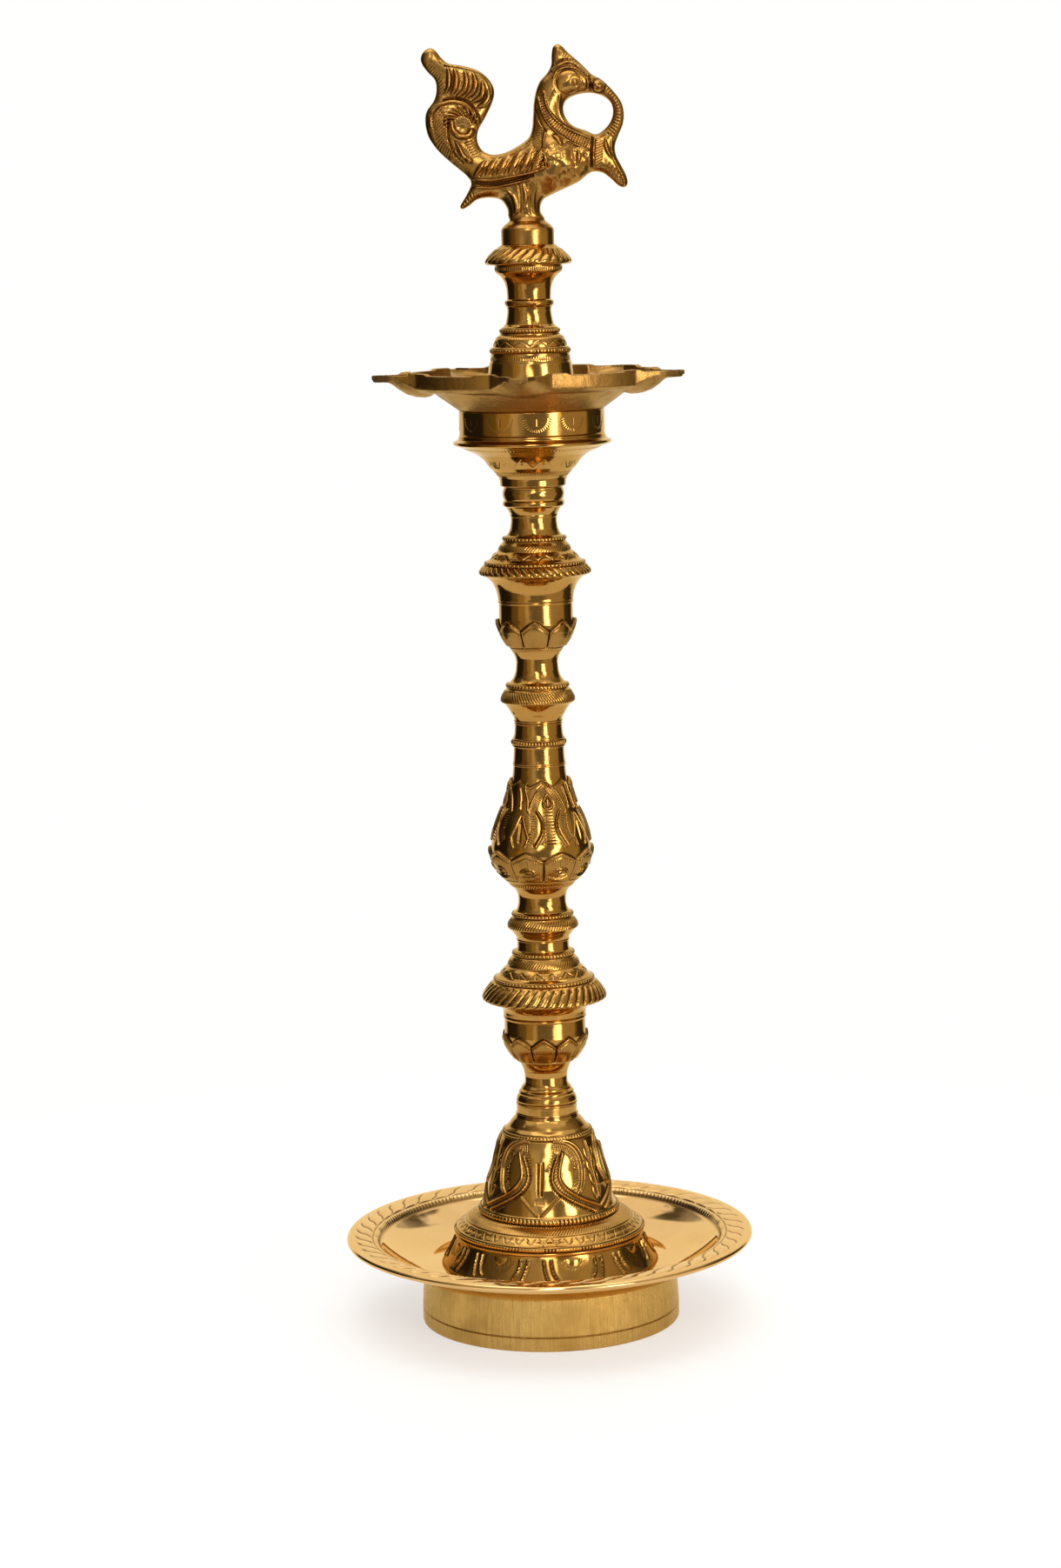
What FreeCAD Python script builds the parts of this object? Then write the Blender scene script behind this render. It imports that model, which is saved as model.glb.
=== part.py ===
import FreeCAD, Part
import math
import os

# Brass standing oil lamp (samai), 610 mm tall, as it comes apart on a bench.
# Units are millimetres. +Z is up and the origin is the centre of the foot's resting face.
# The bird faces +X. One of the five wick spouts points nearly to -Y, towards the user.
# Every turned casting is a revolved outline, listed from its lowest point to its highest.

# ---- driving dimensions ----
FOOT_R = 62.6            # foot ring, outside radius at the table
FOOT_WALL = 3.2          # foot ring, wall thickness
FOOT_TOP = 25.0          # top of the foot ring and underside of the plate
PLATE_FLOOR = 27.6       # oil-catching floor of the base plate
PLATE_R = 98.8           # rim radius of the base plate
PLATE_RIM = 42.5         # top of the rope-fluted rim
ROPE_BAND_R = 85.0       # inner radius of the rope-fluted rim
BELL_TOP = 101.5         # joint between the base bell and the stem
LOWER_TOP = 206.9        # joint between the lower and the middle stem
MIDDLE_TOP = 293.0       # joint between the middle and the upper stem
CUP_TOP = 428.8          # seat of the bowl on the flared cup
DRUM_R = 34.4            # drum under the oil bowl
DRUM_TOP = 441.6         # top of the drum and underside of the bowl
BOWL_FLOOR = 444.6       # floor of the oil bowl
BOWL_R = 60.0            # rim radius of the oil bowl
BOWL_RIM = 459.2         # top of the oil bowl's rim
SPOUT_TIP_R = 75.6       # reach of the wick spouts
SPOUT_COUNT = 5          # wick spouts round the bowl
FRONT_SPOUT_DEG = -94.5  # direction of the first spout, a little to the left of -Y
FINIAL_TOP = 518.0       # joint between the finial and the bird's base

STUD_R = 5.0             # stem rods and studs, outside radius of their right-hand thread
BIRD_STUD_R = 4.0        # stud under the bird
RUNNING_GAP = 0.05       # radial running clearance of a stud in its hole
THREAD_DEPTH = 14.0      # length of rod screwed into the piece below
ROD_GAP = 1.0            # space between the ends of two rods in one hole
BORE_R = STUD_R + RUNNING_GAP
BIRD_BORE_R = BIRD_STUD_R + RUNNING_GAP
BOSS_R = 9.0             # threaded bosses in the cup and under the bowl
WALL = 3.0               # wall of the cored castings

AXIS = FreeCAD.Vector(0, 0, 1)
CENTRE = FreeCAD.Vector(0, 0, 0)


# ---- helpers ----
def point(radius, height):
    return FreeCAD.Vector(radius, 0, height)


def segment(start, end, bulge):
    """A straight line, or an arc that stands out by bulge times half the chord."""
    if bulge == 0:
        return Part.makeLine(start, end)
    chord = end - start
    outward = FreeCAD.Vector(chord.z, 0, -chord.x)
    middle = (start + end) * 0.5 + outward * (0.5 * bulge)
    return Part.Arc(start, middle, end).toShape()


def revolved(outline):
    """A solid of revolution from a closed outline of (radius, height[, bulge]) corners."""
    corners = [point(item[0], item[1]) for item in outline]
    bulges = [item[2] if len(item) > 2 else 0 for item in outline]
    edges = []
    for index, corner in enumerate(corners):
        before = corners[index - 1]
        edges.append(segment(before, corner, bulges[index]))
    face = Part.Face(Part.Wire(Part.__sortEdges__(edges)))
    return face.revolve(CENTRE, AXIS, 360)


def turned(outline, bore=BORE_R):
    """A turned casting: the outer outline, from bottom to top, closed along its bore."""
    bottom = outline[0][1]
    top = outline[-1][1]
    return revolved([(bore, bottom)] + outline + [(bore, top)])


def disc(radius, low, high):
    return Part.makeCylinder(radius, high - low, FreeCAD.Vector(0, 0, low))


def cored(casting, radius, low, high):
    """The casting with a round pocket inside it, coned at both ends so that it would cast."""
    slope = (radius - BORE_R) * 0.6
    pocket = revolved([
        (0, low), (BORE_R, low), (radius, low + slope),
        (radius, high - slope), (BORE_R, high), (0, high),
    ])
    return casting.cut(pocket)


def rod(radius, low, high):
    """A threaded rod, drawn at its thread's outside radius, with both ends chamfered."""
    chamfer = 0.8
    return revolved([
        (0, low), (radius - chamfer, low), (radius, low + chamfer),
        (radius, high - chamfer), (radius - chamfer, high), (0, high),
    ])


def save(name, shape):
    shape.exportStep("parts/" + name + ".step")


# ---- base ----
def foot_ring():
    """Satin ring under the plate, with one scribed groove near the table."""
    groove = 6.8
    inner = FOOT_R - FOOT_WALL
    return revolved([
        (inner, 0), (FOOT_R, 0), (FOOT_R, groove - 0.4), (FOOT_R - 0.5, groove),
        (FOOT_R, groove + 0.4), (FOOT_R - 1.1, FOOT_TOP), (inner - 1.1, FOOT_TOP),
    ])


def base_plate():
    """Round dish with a flat floor, a hollow wall and a broad rope-fluted rim."""
    wall_start = 61.5
    under = FOOT_TOP
    return revolved([
        (BORE_R, under), (wall_start, under), (ROPE_BAND_R + 0.6, PLATE_RIM - 4.2, 0.16),
        (PLATE_R - 1.6, PLATE_RIM - 3.0), (PLATE_R, PLATE_RIM - 1.4, 0.3),
        (PLATE_R - 1.6, PLATE_RIM - 0.1, 0.3), (ROPE_BAND_R, PLATE_RIM - 0.8),
        (wall_start, PLATE_FLOOR, -0.16), (BORE_R, PLATE_FLOOR),
    ])


def base_bell():
    """Hollow bell: flared skirt, ring, rounded shoulder, bell body, and a solid threaded crown."""
    outer = [
        (52.8, PLATE_FLOOR), (45.4, 41.2, -0.06), (46.2, 44.4, 0.6), (44.6, 46.2, 0.4),
        (33.6, 53.6, 0.32), (33.0, 55.6, 0.5), (29.2, 69.5, -0.1), (26.4, 78.0),
        (21.4, 92.4, 0.12), (20.9, 94.2, 0.4), (15.0, BELL_TOP, 0.1),
    ]
    bell = turned(outer)
    crown = 78.0
    hollow = revolved([
        (0, PLATE_FLOOR), (49.0, PLATE_FLOOR), (41.5, 43.0, -0.06), (31.0, 51.5, 0.2),
        (25.6, 69.5, -0.1), (20.0, crown), (0, crown),
    ])
    return bell.cut(hollow)


def tie_bolt():
    """Bolt screwed up into the bell's crown, which holds the plate to the bell."""
    return rod(STUD_R, 12.0, BELL_TOP - THREAD_DEPTH - ROD_GAP)


def base_washer():
    return revolved([(BORE_R + 0.4, 23.0), (14.0, 23.0), (14.0, FOOT_TOP), (BORE_R + 0.4, FOOT_TOP)])


def base_nut():
    """Hexagon nut, 17 mm across the flats, with both faces chamfered."""
    across_flats = 17.0
    low = 15.0
    high = 23.0
    corner = across_flats / math.sqrt(3)
    corners = []
    for side in range(7):
        angle = math.radians(60 * side)
        corners.append(FreeCAD.Vector(corner * math.cos(angle), corner * math.sin(angle), low))
    block = Part.Face(Part.makePolygon(corners)).extrude(FreeCAD.Vector(0, 0, high - low))
    chamfer = revolved([
        (0, low), (corner - 1.2, low), (corner + 0.1, low + 0.8),
        (corner + 0.1, high - 0.8), (corner - 1.2, high), (0, high),
    ])
    return block.common(chamfer).cut(disc(BORE_R, low - 1, high + 1))


# ---- lower stem ----
def bell_collar():
    """Three plain rings above the bell, drawn in to a narrow neck."""
    return turned([
        (14.6, BELL_TOP), (14.6, 106.6), (14.2, 107.2), (14.4, 108.4, 0.5), (12.4, 112.4, 0.1),
        (12.2, 113.2), (11.2, 114.4, 0.4), (11.0, 115.8), (10.3, 117.2, -0.2), (10.3, 120.0),
    ])


def lower_lotus_cup():
    """Cup wrapped in ten petals, with a plain barrel above them."""
    outline = [
        (10.3, 120.0), (12.4, 126.2, -0.12), (20.8, 138.6, 0.2), (21.0, 141.6),
        (19.5, 143.4, -0.2), (19.5, 149.4), (20.0, 150.0), (20.0, 152.5),
    ]
    return cored(turned(outline), 15.5, 131.0, 150.0)


def lower_rope_flange():
    """Broad roped flange with a stepped dome above it."""
    outline = [
        (20.0, 152.5), (20.4, 153.6), (26.7, 157.2, -0.14), (29.85, 159.4, 0.2),
        (28.6, 162.4, 0.3), (24.2, 167.2), (23.4, 169.0, 0.5), (21.0, 170.2),
        (16.2, 176.4, 0.1), (15.4, 178.4, 0.4), (14.6, 181.0), (12.5, 183.0, -0.2), (12.4, 186.7),
    ]
    return cored(turned(outline), 14.5, 153.5, 170.0)


def lower_baluster():
    """Small flange with a hatched edge, and the neck above it."""
    return turned([
        (12.4, 186.7), (12.6, 188.0), (16.6, 193.2, -0.2), (16.8, 195.6, 0.4),
        (14.6, 198.6), (14.4, 200.4, 0.4), (11.9, 203.4, -0.1), (11.5, LOWER_TOP),
    ])


# ---- middle stem ----
def vase():
    """Pear-shaped vase: a lotus foot, then a body covered in tall pointed leaves."""
    outline = [
        (11.5, LOWER_TOP), (11.9, 209.7), (14.8, 213.5, -0.1), (18.4, 217.3, 0.1),
        (25.3, 231.2, 0.1), (25.0, 233.0, 0.4), (23.4, 236.4, -0.1), (19.4, 249.1, 0.1),
        (13.1, 267.6, -0.1), (14.4, 270.6, -0.2), (12.9, 272.4), (12.5, 273.6),
    ]
    return cored(turned(outline), 17.0, 214.0, 252.0)


def bead_collar():
    """Plain collar with one row of round beads."""
    return turned([
        (12.5, 273.6), (12.2, 276.6), (12.1, 281.2), (13.1, 281.8, 0.3), (13.1, 284.6, 0.9),
        (12.3, 285.4, 0.3), (11.4, 288.4, -0.2), (11.4, MIDDLE_TOP),
    ])


# ---- upper stem ----
def upper_baluster():
    """Small flange with a hatched edge, and the concave neck above it."""
    return turned([
        (11.2, MIDDLE_TOP), (12.9, 297.1, -0.1), (17.3, 302.4, -0.2), (17.6, 304.8, 0.5),
        (14.8, 309.2), (14.4, 311.2, 0.4), (11.0, 314.8), (10.0, 320.0, -0.1), (10.0, 321.5),
    ])


def upper_lotus_cup():
    """Smaller cup wrapped in eight petals, with a plain barrel above them."""
    outline = [
        (10.0, 321.5), (12.0, 327.2, -0.1), (18.2, 338.4, 0.1), (19.5, 342.4, -0.1),
        (17.6, 344.8, -0.1), (17.6, 350.6), (18.0, 351.2), (18.0, 352.6),
    ]
    return cored(turned(outline), 13.6, 331.0, 350.0)


def upper_rope_flange():
    """Roped flange with a stepped dome above it."""
    outline = [
        (18.0, 352.6), (19.2, 357.1), (25.0, 363.4, -0.14), (26.65, 364.8, 0.3),
        (25.4, 367.0, 0.3), (23.9, 368.8), (23.1, 370.4, 0.4), (20.8, 371.8),
        (16.6, 376.6, 0.1), (15.2, 380.0, 0.3), (13.8, 381.4, 0.4), (11.2, 385.6, -0.1), (10.9, 388.4),
    ]
    return cored(turned(outline), 13.0, 354.0, 371.0)


def bulb_collar():
    """Ring, short bulb and plain band under the flared cup."""
    return turned([
        (10.9, 388.4), (11.3, 391.9), (13.4, 395.8, -0.2), (14.6, 396.4, 0.3), (14.6, 398.2, 0.5),
        (14.2, 398.8), (14.2, 404.2, 0.2), (15.6, 405.8, -0.1), (15.8, 408.4),
    ])


def drip_cup():
    """Flared cup that carries the bowl: open above, with a threaded boss at its centre."""
    return revolved([
        (BORE_R, 408.4), (15.9, 408.4), (19.1, 412.8, -0.06), (30.0, 421.8, -0.08),
        (36.6, 425.4, -0.06), (37.4, 426.4, 0.3), (36.8, 427.4, 0.3), (35.0, CUP_TOP, -0.2),
        (31.6, CUP_TOP), (28.6, 424.6, 0.1), (16.0, 413.6, 0.12), (BOSS_R, 412.6),
        (BOSS_R, 424.0), (BORE_R, 424.0),
    ])


# ---- bowl ----
def bowl_drum():
    """Plain polished ring brazed under the bowl, engraved with scallops."""
    return revolved([
        (DRUM_R - WALL, CUP_TOP), (DRUM_R + 0.3, CUP_TOP), (DRUM_R, CUP_TOP + 1.0),
        (DRUM_R, DRUM_TOP), (DRUM_R - WALL, DRUM_TOP),
    ])


def spout_section(reach, half_width, top, depth):
    """Cross-section of a wick spout, a flat-bottomed V, at one distance from the axis."""
    keel = 0.45
    corners = [
        FreeCAD.Vector(reach, -half_width, top),
        FreeCAD.Vector(reach, -half_width * keel, top - depth),
        FreeCAD.Vector(reach, half_width * keel, top - depth),
        FreeCAD.Vector(reach, half_width, top),
    ]
    return Part.makePolygon(corners + [corners[0]])


def spout_pair(direction):
    """The outside of one wick spout and the oil channel in it, turned to its direction."""
    skin = Part.makeLoft([
        spout_section(47.0, 14.0, BOWL_RIM, 9.0),
        spout_section(51.5, 16.0, BOWL_RIM, 10.7),
        spout_section(58.0, 13.6, BOWL_RIM, 9.4),
        spout_section(63.0, 9.6, BOWL_RIM, 6.8),
        spout_section(68.0, 6.0, BOWL_RIM, 3.6),
        spout_section(SPOUT_TIP_R, 4.6, BOWL_RIM, 3.2),
    ], True, True)
    channel = Part.makeLoft([
        spout_section(46.0, 12.6, BOWL_RIM + 1.0, 6.8),
        spout_section(58.0, 10.4, BOWL_RIM + 1.0, 6.2),
        spout_section(66.0, 5.0, BOWL_RIM + 1.0, 4.0),
        spout_section(SPOUT_TIP_R - 1.0, 3.2, BOWL_RIM + 1.0, 2.4),
    ], True, True)
    for shape in (skin, channel):
        shape.rotate(CENTRE, AXIS, direction)
    return skin, channel


def oil_bowl():
    """Shallow bowl with five wick spouts and a boss below that takes both studs."""
    rim_inner = BOWL_R - WALL
    floor = [(30.0, BOWL_FLOOR, 0.1), (31.4, BOWL_FLOOR + 0.6), (45.5, 453.0), (rim_inner - 0.6, 454.6)]
    shell = revolved([
        (BORE_R, DRUM_TOP), (DRUM_R, DRUM_TOP), (46.3, 450.3), (57.4, 451.4),
        (BOWL_R, 453.6, 0.3), (BOWL_R, BOWL_RIM - 0.8), (BOWL_R - 0.8, BOWL_RIM),
        (rim_inner, BOWL_RIM), floor[3], floor[2], floor[1], floor[0], (BORE_R, BOWL_FLOOR),
    ])
    boss = revolved([(BORE_R, 424.6), (BOSS_R, 424.6), (BOSS_R, DRUM_TOP), (BORE_R, DRUM_TOP)])
    bowl = shell.fuse(boss)
    channels = []
    for number in range(SPOUT_COUNT):
        direction = FRONT_SPOUT_DEG + number * 360.0 / SPOUT_COUNT
        skin, channel = spout_pair(direction)
        bowl = bowl.fuse(skin)
        channels.append(channel)
    well = revolved([
        (0, 430.0), (BORE_R, 430.0), (BORE_R, BOWL_FLOOR), floor[0][:2], (31.4, BOWL_FLOOR + 0.6, -0.1),
        floor[2], floor[3], (rim_inner, BOWL_RIM + 1.0), (0, BOWL_RIM + 1.0),
    ])
    for cutter in channels + [well]:
        bowl = bowl.cut(cutter)
    return bowl.removeSplitter()


# ---- finial ----
def finial_neck():
    """Small bell on the bowl's floor that rises into a ringed neck, tapped at its top for the bird."""
    tapped_from = 503.0
    return revolved([
        (BORE_R, BOWL_FLOOR), (23.4, BOWL_FLOOR), (19.5, 463.4, -0.08), (18.6, 465.0),
        (18.6, 469.4, 0.3), (17.4, 470.6), (16.4, 474.4, 0.1), (14.0, 476.6, 0.2),
        (13.8, 478.6, 0.5), (11.6, 480.8), (10.2, 487.5, -0.1), (11.1, 490.0), (11.1, 492.0, 0.5),
        (10.2, 493.0), (10.3, 496.0), (12.8, 503.2, -0.1), (15.6, 506.2), (15.8, 508.6, 0.6),
        (BIRD_BORE_R, 508.6), (BIRD_BORE_R, tapped_from), (BORE_R, tapped_from),
    ])


def finial_rope_collar():
    """Roped collar that covers the joint under the bird's base."""
    return turned([
        (15.8, 508.6), (20.3, 509.6, 0.2), (20.2, 511.4, 0.6), (17.4, 514.8), (13.2, FINIAL_TOP),
    ], BIRD_BORE_R)


# ---- bird ----
def bird_outline():
    """Side outline of the bird: tail, back, neck, crest, head, beak loop, lappet, breast, rump."""
    tail_back = [
        (-43.3, 609.5), (-46.6, 607.8), (-48.0, 604.6), (-47.0, 601.4), (-44.6, 598.2), (-41.6, 594.8),
        (-41.0, 590.4), (-42.2, 585.6), (-45.8, 580.6), (-46.6, 575.4), (-45.6, 569.8), (-43.4, 565.6),
        (-40.4, 561.8), (-36.4, 557.9), (-31.6, 553.8), (-27.8, 550.4), (-25.9, 546.8),
    ]
    rump = [
        (-28.4, 541.4), (-31.2, 536.8), (-30.2, 535.2), (-27.2, 536.6), (-22.8, 539.6), (-16.4, 540.2),
        (-11.9, 538.8), (-9.2, 534.8), (-7.4, 529.6),
    ]
    breast = [
        (7.0, 529.6), (5.8, 533.6), (7.6, 538.6), (11.6, 541.0), (19.2, 544.3), (24.6, 546.8),
        (28.4, 549.8), (31.4, 551.2),
    ]
    lappet = [
        (35.6, 550.6), (39.4, 547.9), (43.0, 544.5), (45.8, 543.7), (47.3, 545.6), (46.6, 549.4),
        (44.2, 554.2), (42.1, 558.6), (41.7, 563.0), (43.4, 567.8), (45.5, 572.6), (46.1, 577.8),
        (45.1, 582.6), (42.4, 586.8),
    ]
    head = [
        (39.2, 590.4), (35.8, 593.5), (31.6, 595.8), (28.4, 599.0), (24.4, 602.8), (20.4, 606.3),
        (17.6, 609.3), (15.6, 610.0), (13.6, 608.6), (12.9, 604.8), (12.6, 600.4),
    ]
    back = [
        (10.4, 596.6), (7.2, 593.2), (5.3, 588.8), (4.1, 583.0), (3.6, 576.8), (3.0, 571.2), (0.8, 566.8),
        (-5.8, 562.6), (-11.2, 560.5), (-16.4, 560.2), (-20.4, 562.3), (-22.5, 566.8),
    ]
    tail_front = [
        (-21.8, 571.6), (-18.9, 576.5), (-15.9, 582.2), (-14.2, 587.0), (-14.4, 591.0), (-16.9, 595.2),
        (-21.6, 598.9), (-28.6, 601.1), (-35.0, 602.3), (-38.4, 605.0), (-40.6, 607.9),
    ]
    corners = tail_back + rump + breast + lappet + head + back + tail_front
    curve = Part.BSplineCurve()
    curve.interpolate(Points=[point(*corner) for corner in corners], PeriodicFlag=True)
    return Part.Face(Part.Wire(curve.toShape()))


def beak_hole():
    """The opening between the neck and the lappet that hangs from the beak."""
    corners = [
        (18.0, 581.0), (19.8, 584.6), (24.4, 586.7), (30.0, 587.4), (35.6, 586.2), (39.6, 583.3),
        (41.0, 579.2), (40.0, 574.6), (37.0, 570.8), (32.9, 568.4), (28.0, 570.3), (22.4, 572.5),
        (19.0, 576.3),
    ]
    curve = Part.BSplineCurve()
    curve.interpolate(Points=[point(*corner) for corner in corners], PeriodicFlag=True)
    return Part.Face(Part.Wire(curve.toShape()))


def plate_of(face, thickness):
    """A flat plate of that thickness, centred on the plane through the bird's middle."""
    plate = face.extrude(FreeCAD.Vector(0, thickness, 0))
    plate.translate(FreeCAD.Vector(0, -thickness / 2, 0))
    return plate


def ellipsoid(centre, radii, tilt):
    """An ellipsoid with its radii along X, Y and Z, then tilted nose-up about Y."""
    matrix = FreeCAD.Matrix()
    matrix.scale(*radii)
    shape = Part.makeSphere(1.0).transformGeometry(matrix)
    shape.rotate(CENTRE, FreeCAD.Vector(0, 1, 0), -tilt)
    shape.translate(FreeCAD.Vector(centre[0], 0, centre[1]))
    return shape


def bird():
    """Hamsa with a raised tail, a lappet looped from its beak, and a round cast base."""
    plate_thickness = 8.4
    body = plate_of(bird_outline(), plate_thickness)
    body = body.cut(plate_of(beak_hole(), plate_thickness + 10))
    swellings = [
        ellipsoid((12.0, 557.0), (17.0, 13.0, 13.0), 30),
        ellipsoid((-9.0, 551.0), (17.0, 10.0, 9.0), 14),
        ellipsoid((12.0, 577.0), (7.0, 7.6, 15.0), 0),
        ellipsoid((22.0, 592.4), (10.0, 7.6, 7.4), -20),
    ]
    for swelling in swellings:
        body = body.fuse(swelling)
    body = body.cut(plate_of(beak_hole(), 40))
    base = turned([
        (12.4, FINIAL_TOP), (12.4, 524.6), (11.6, 526.6, 0.1), (7.2, 532.6, -0.16), (6.6, 544.0),
    ], 0)
    socket = disc(BIRD_BORE_R, FINIAL_TOP, FINIAL_TOP + 11.0)
    return body.fuse(base).cut(socket).removeSplitter()


# ---- rods and studs ----
def stem_rods():
    """The threaded rod of each stem section: it hangs THREAD_DEPTH below its section."""
    return {
        "lower_rod": rod(STUD_R, BELL_TOP - THREAD_DEPTH, LOWER_TOP - THREAD_DEPTH - ROD_GAP),
        "middle_rod": rod(STUD_R, LOWER_TOP - THREAD_DEPTH, MIDDLE_TOP - THREAD_DEPTH - ROD_GAP),
        "upper_rod": rod(STUD_R, MIDDLE_TOP - THREAD_DEPTH, 408.5),
        "bowl_stud": rod(STUD_R, 409.5, 429.6),
        "finial_stud": rod(STUD_R, BOWL_FLOOR - THREAD_DEPTH, 502.5),
        "bird_stud": rod(BIRD_STUD_R, FINIAL_TOP - THREAD_DEPTH, FINIAL_TOP + 10.0),
    }


os.makedirs("parts", exist_ok=True)
CASTINGS = [
    foot_ring, base_plate, base_bell, tie_bolt, base_washer, base_nut,
    bell_collar, lower_lotus_cup, lower_rope_flange, lower_baluster,
    vase, bead_collar,
    upper_baluster, upper_lotus_cup, upper_rope_flange, bulb_collar, drip_cup,
    bowl_drum, oil_bowl, finial_neck, finial_rope_collar, bird,
]
for maker in CASTINGS:
    save(maker.__name__, maker())
for rod_name, rod_shape in stem_rods().items():
    save(rod_name, rod_shape)
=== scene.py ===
import math

import bpy
import numpy as np
from mathutils import Matrix, Vector


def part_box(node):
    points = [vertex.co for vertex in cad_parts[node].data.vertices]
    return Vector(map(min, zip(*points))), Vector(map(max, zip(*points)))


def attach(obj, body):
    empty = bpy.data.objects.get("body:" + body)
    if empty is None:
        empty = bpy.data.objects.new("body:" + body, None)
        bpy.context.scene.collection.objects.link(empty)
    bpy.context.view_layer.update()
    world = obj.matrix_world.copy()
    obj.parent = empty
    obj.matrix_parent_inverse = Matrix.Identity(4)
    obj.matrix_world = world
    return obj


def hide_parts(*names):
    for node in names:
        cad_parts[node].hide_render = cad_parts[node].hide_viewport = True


# Brass standing oil lamp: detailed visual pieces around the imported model.
# Shapes are written in millimetres and built in metres. +Z is up; the camera looks along +Y.

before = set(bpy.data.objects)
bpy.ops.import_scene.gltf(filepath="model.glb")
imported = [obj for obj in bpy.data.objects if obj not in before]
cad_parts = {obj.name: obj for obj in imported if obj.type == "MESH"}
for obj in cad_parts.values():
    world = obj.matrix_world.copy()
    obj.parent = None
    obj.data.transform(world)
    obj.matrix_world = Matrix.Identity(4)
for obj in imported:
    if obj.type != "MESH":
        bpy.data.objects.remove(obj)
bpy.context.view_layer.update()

MM = 0.001
TWO_PI = 2 * math.pi
FRONT = -math.pi / 2          # azimuth that faces the camera
PITCH = 1.75                  # screw pitch of every threaded joint
BORE_R = 5.05                 # bore of the castings
BIRD_BORE_R = 4.05            # bore of the two pieces that take the bird's stud
SHARP_DEG = 52                # edges that turn more than this are shaded sharp
FULL_DARKENING = 0.22              # a cut this much deeper than its surroundings gets the full darkening


# ---------------------------------------------------------------- curves
def smoothstep(low, high, value):
    t = np.clip((value - low) / (high - low), 0, 1)
    return t * t * (3 - 2 * t)


def window(value, low, high, soft):
    """1 between low and high, falling to 0 over soft on each side."""
    return smoothstep(low - soft, low + soft, value) * (1 - smoothstep(high - soft, high + soft,
        value))


def rounded(distance, width):
    """A rounded rib across a stroke: 1 on its centre line, 0 at width."""
    return np.clip(1 - (distance / width) ** 2, 0, 1) ** 1.2


def teeth(phase, width=0.55):
    """A row of teeth, one in each whole step of phase: 1 at its middle, 0 outside that width."""
    return np.clip(1 - np.abs(phase % 1.0 * 2 - 1) / width, 0, 1)


def round_bar(offset):
    """A half-round bar: 1 at offset 0, falling to 0 at offsets of 1 and -1."""
    return np.sqrt(np.clip(1 - offset ** 2, 0, 1))


def profile(value, corners):
    """Linear interpolation through (place, value) corners."""
    places, values = zip(*corners)
    return np.interp(value, places, values)


def soft_min(a, b, blend):
    t = np.clip(0.5 + 0.5 * (b - a) / blend, 0, 1)
    return b * (1 - t) + a * t - blend * t * (1 - t)


def arc_points(start, end, bulge, step):
    """Points from start to end, without the start, along a line or a bulging arc."""
    start, end = np.array(start, float), np.array(end, float)
    chord = end - start
    length = np.hypot(*chord)
    if abs(bulge) < 1e-6:
        count = max(1, int(math.ceil(length / step)))
        return [start + chord * k / count for k in range(1, count + 1)]
    angle = 4 * math.atan(bulge)
    radius = length / (2 * math.sin(angle / 2))
    count = max(2, int(math.ceil(abs(radius * angle) / step)))
    normal = np.array([chord[1], -chord[0]]) / length
    centre = (start + end) / 2 - normal * radius * math.cos(angle / 2)
    arm = start - centre
    points = []
    for k in range(1, count + 1):
        c, s = math.cos(angle * k / count), math.sin(angle * k / count)
        points.append(centre + np.array([c * arm[0] - s * arm[1], s * arm[0] + c * arm[1]]))
    return points


def sample_outline(outline, step):
    """Evenly sampled (radius, height) points of an outline of (radius, height[, bulge[, step]])."""
    points = [np.array(outline[0][:2], float)]
    for before, corner in zip(outline, outline[1:]):
        bulge = corner[2] if len(corner) > 2 else 0
        local = corner[3] if len(corner) > 3 else step
        points += arc_points(before[:2], corner[:2], bulge, local)
    return np.array(points)


def catmull_rom(a, b, c, d, per_span):
    """Points of a smooth curve from b towards c, between their neighbours a and d."""
    return [0.5 * (2 * b + (c - a) * t + (2 * a - 5 * b + 4 * c - d) * t * t
        + (3 * b - a - 3 * c + d) * t ** 3) for t in np.arange(per_span) / per_span]


def smooth_path(corners, per_span=8):
    """An open smooth curve through the corners."""
    pts = np.array([corners[0]] + list(corners) + [corners[-1]], float)
    out = []
    for four in zip(pts, pts[1:], pts[2:], pts[3:]):
        out += catmull_rom(*four, per_span)
    return np.array(out + [pts[-2]])


def ring_path(corners, per_span=4):
    """A closed smooth curve through the corners."""
    pts = np.array(corners, float)
    out = []
    for four in zip(np.roll(pts, 1, 0), pts, np.roll(pts, -1, 0), np.roll(pts, -2, 0)):
        out += catmull_rom(*four, per_span)
    return np.array(out)


def nearest(u, v, path, reach):
    """For each (u, v): distance to a polyline, the place along it, its length, and the side.

    The distance is exact within reach, and reach beyond it."""
    low, high = path.min(0) - reach, path.max(0) + reach
    near = (u > low[0]) & (u < high[0]) & (v > low[1]) & (v < high[1])
    pu, pv = u[near], v[near]
    best, place, side = np.full(pu.shape, float(reach)), 0 * pu, 0 * pu + 1
    run = 0.0
    for (ax, ay), (bx, by) in zip(path, path[1:]):
        dx, dy = bx - ax, by - ay
        length = math.hypot(dx, dy) + 1e-9
        t = np.clip(((pu - ax) * dx + (pv - ay) * dy) / length ** 2, 0, 1)
        away = np.hypot(pu - ax - t * dx, pv - ay - t * dy)
        closer = away < best
        best = np.where(closer, away, best)
        place = np.where(closer, run + t * length, place)
        side = np.where(closer, np.sign(dx * (pv - ay) - dy * (pu - ax)), side)
        run += length
    tables = []
    for found, beyond in ((best, reach), (place, 0.0), (side, 1.0)):
        table = np.full(u.shape, float(beyond))
        table[near] = found
        tables.append(table)
    return tables[0], tables[1], run, tables[2]


def path_distance(u, v, path, reach):
    return nearest(u, v, path, reach)[0]


# ---------------------------------------------------------------- meshes
def link(thing):
    bpy.context.scene.collection.objects.link(thing)
    return thing


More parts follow.
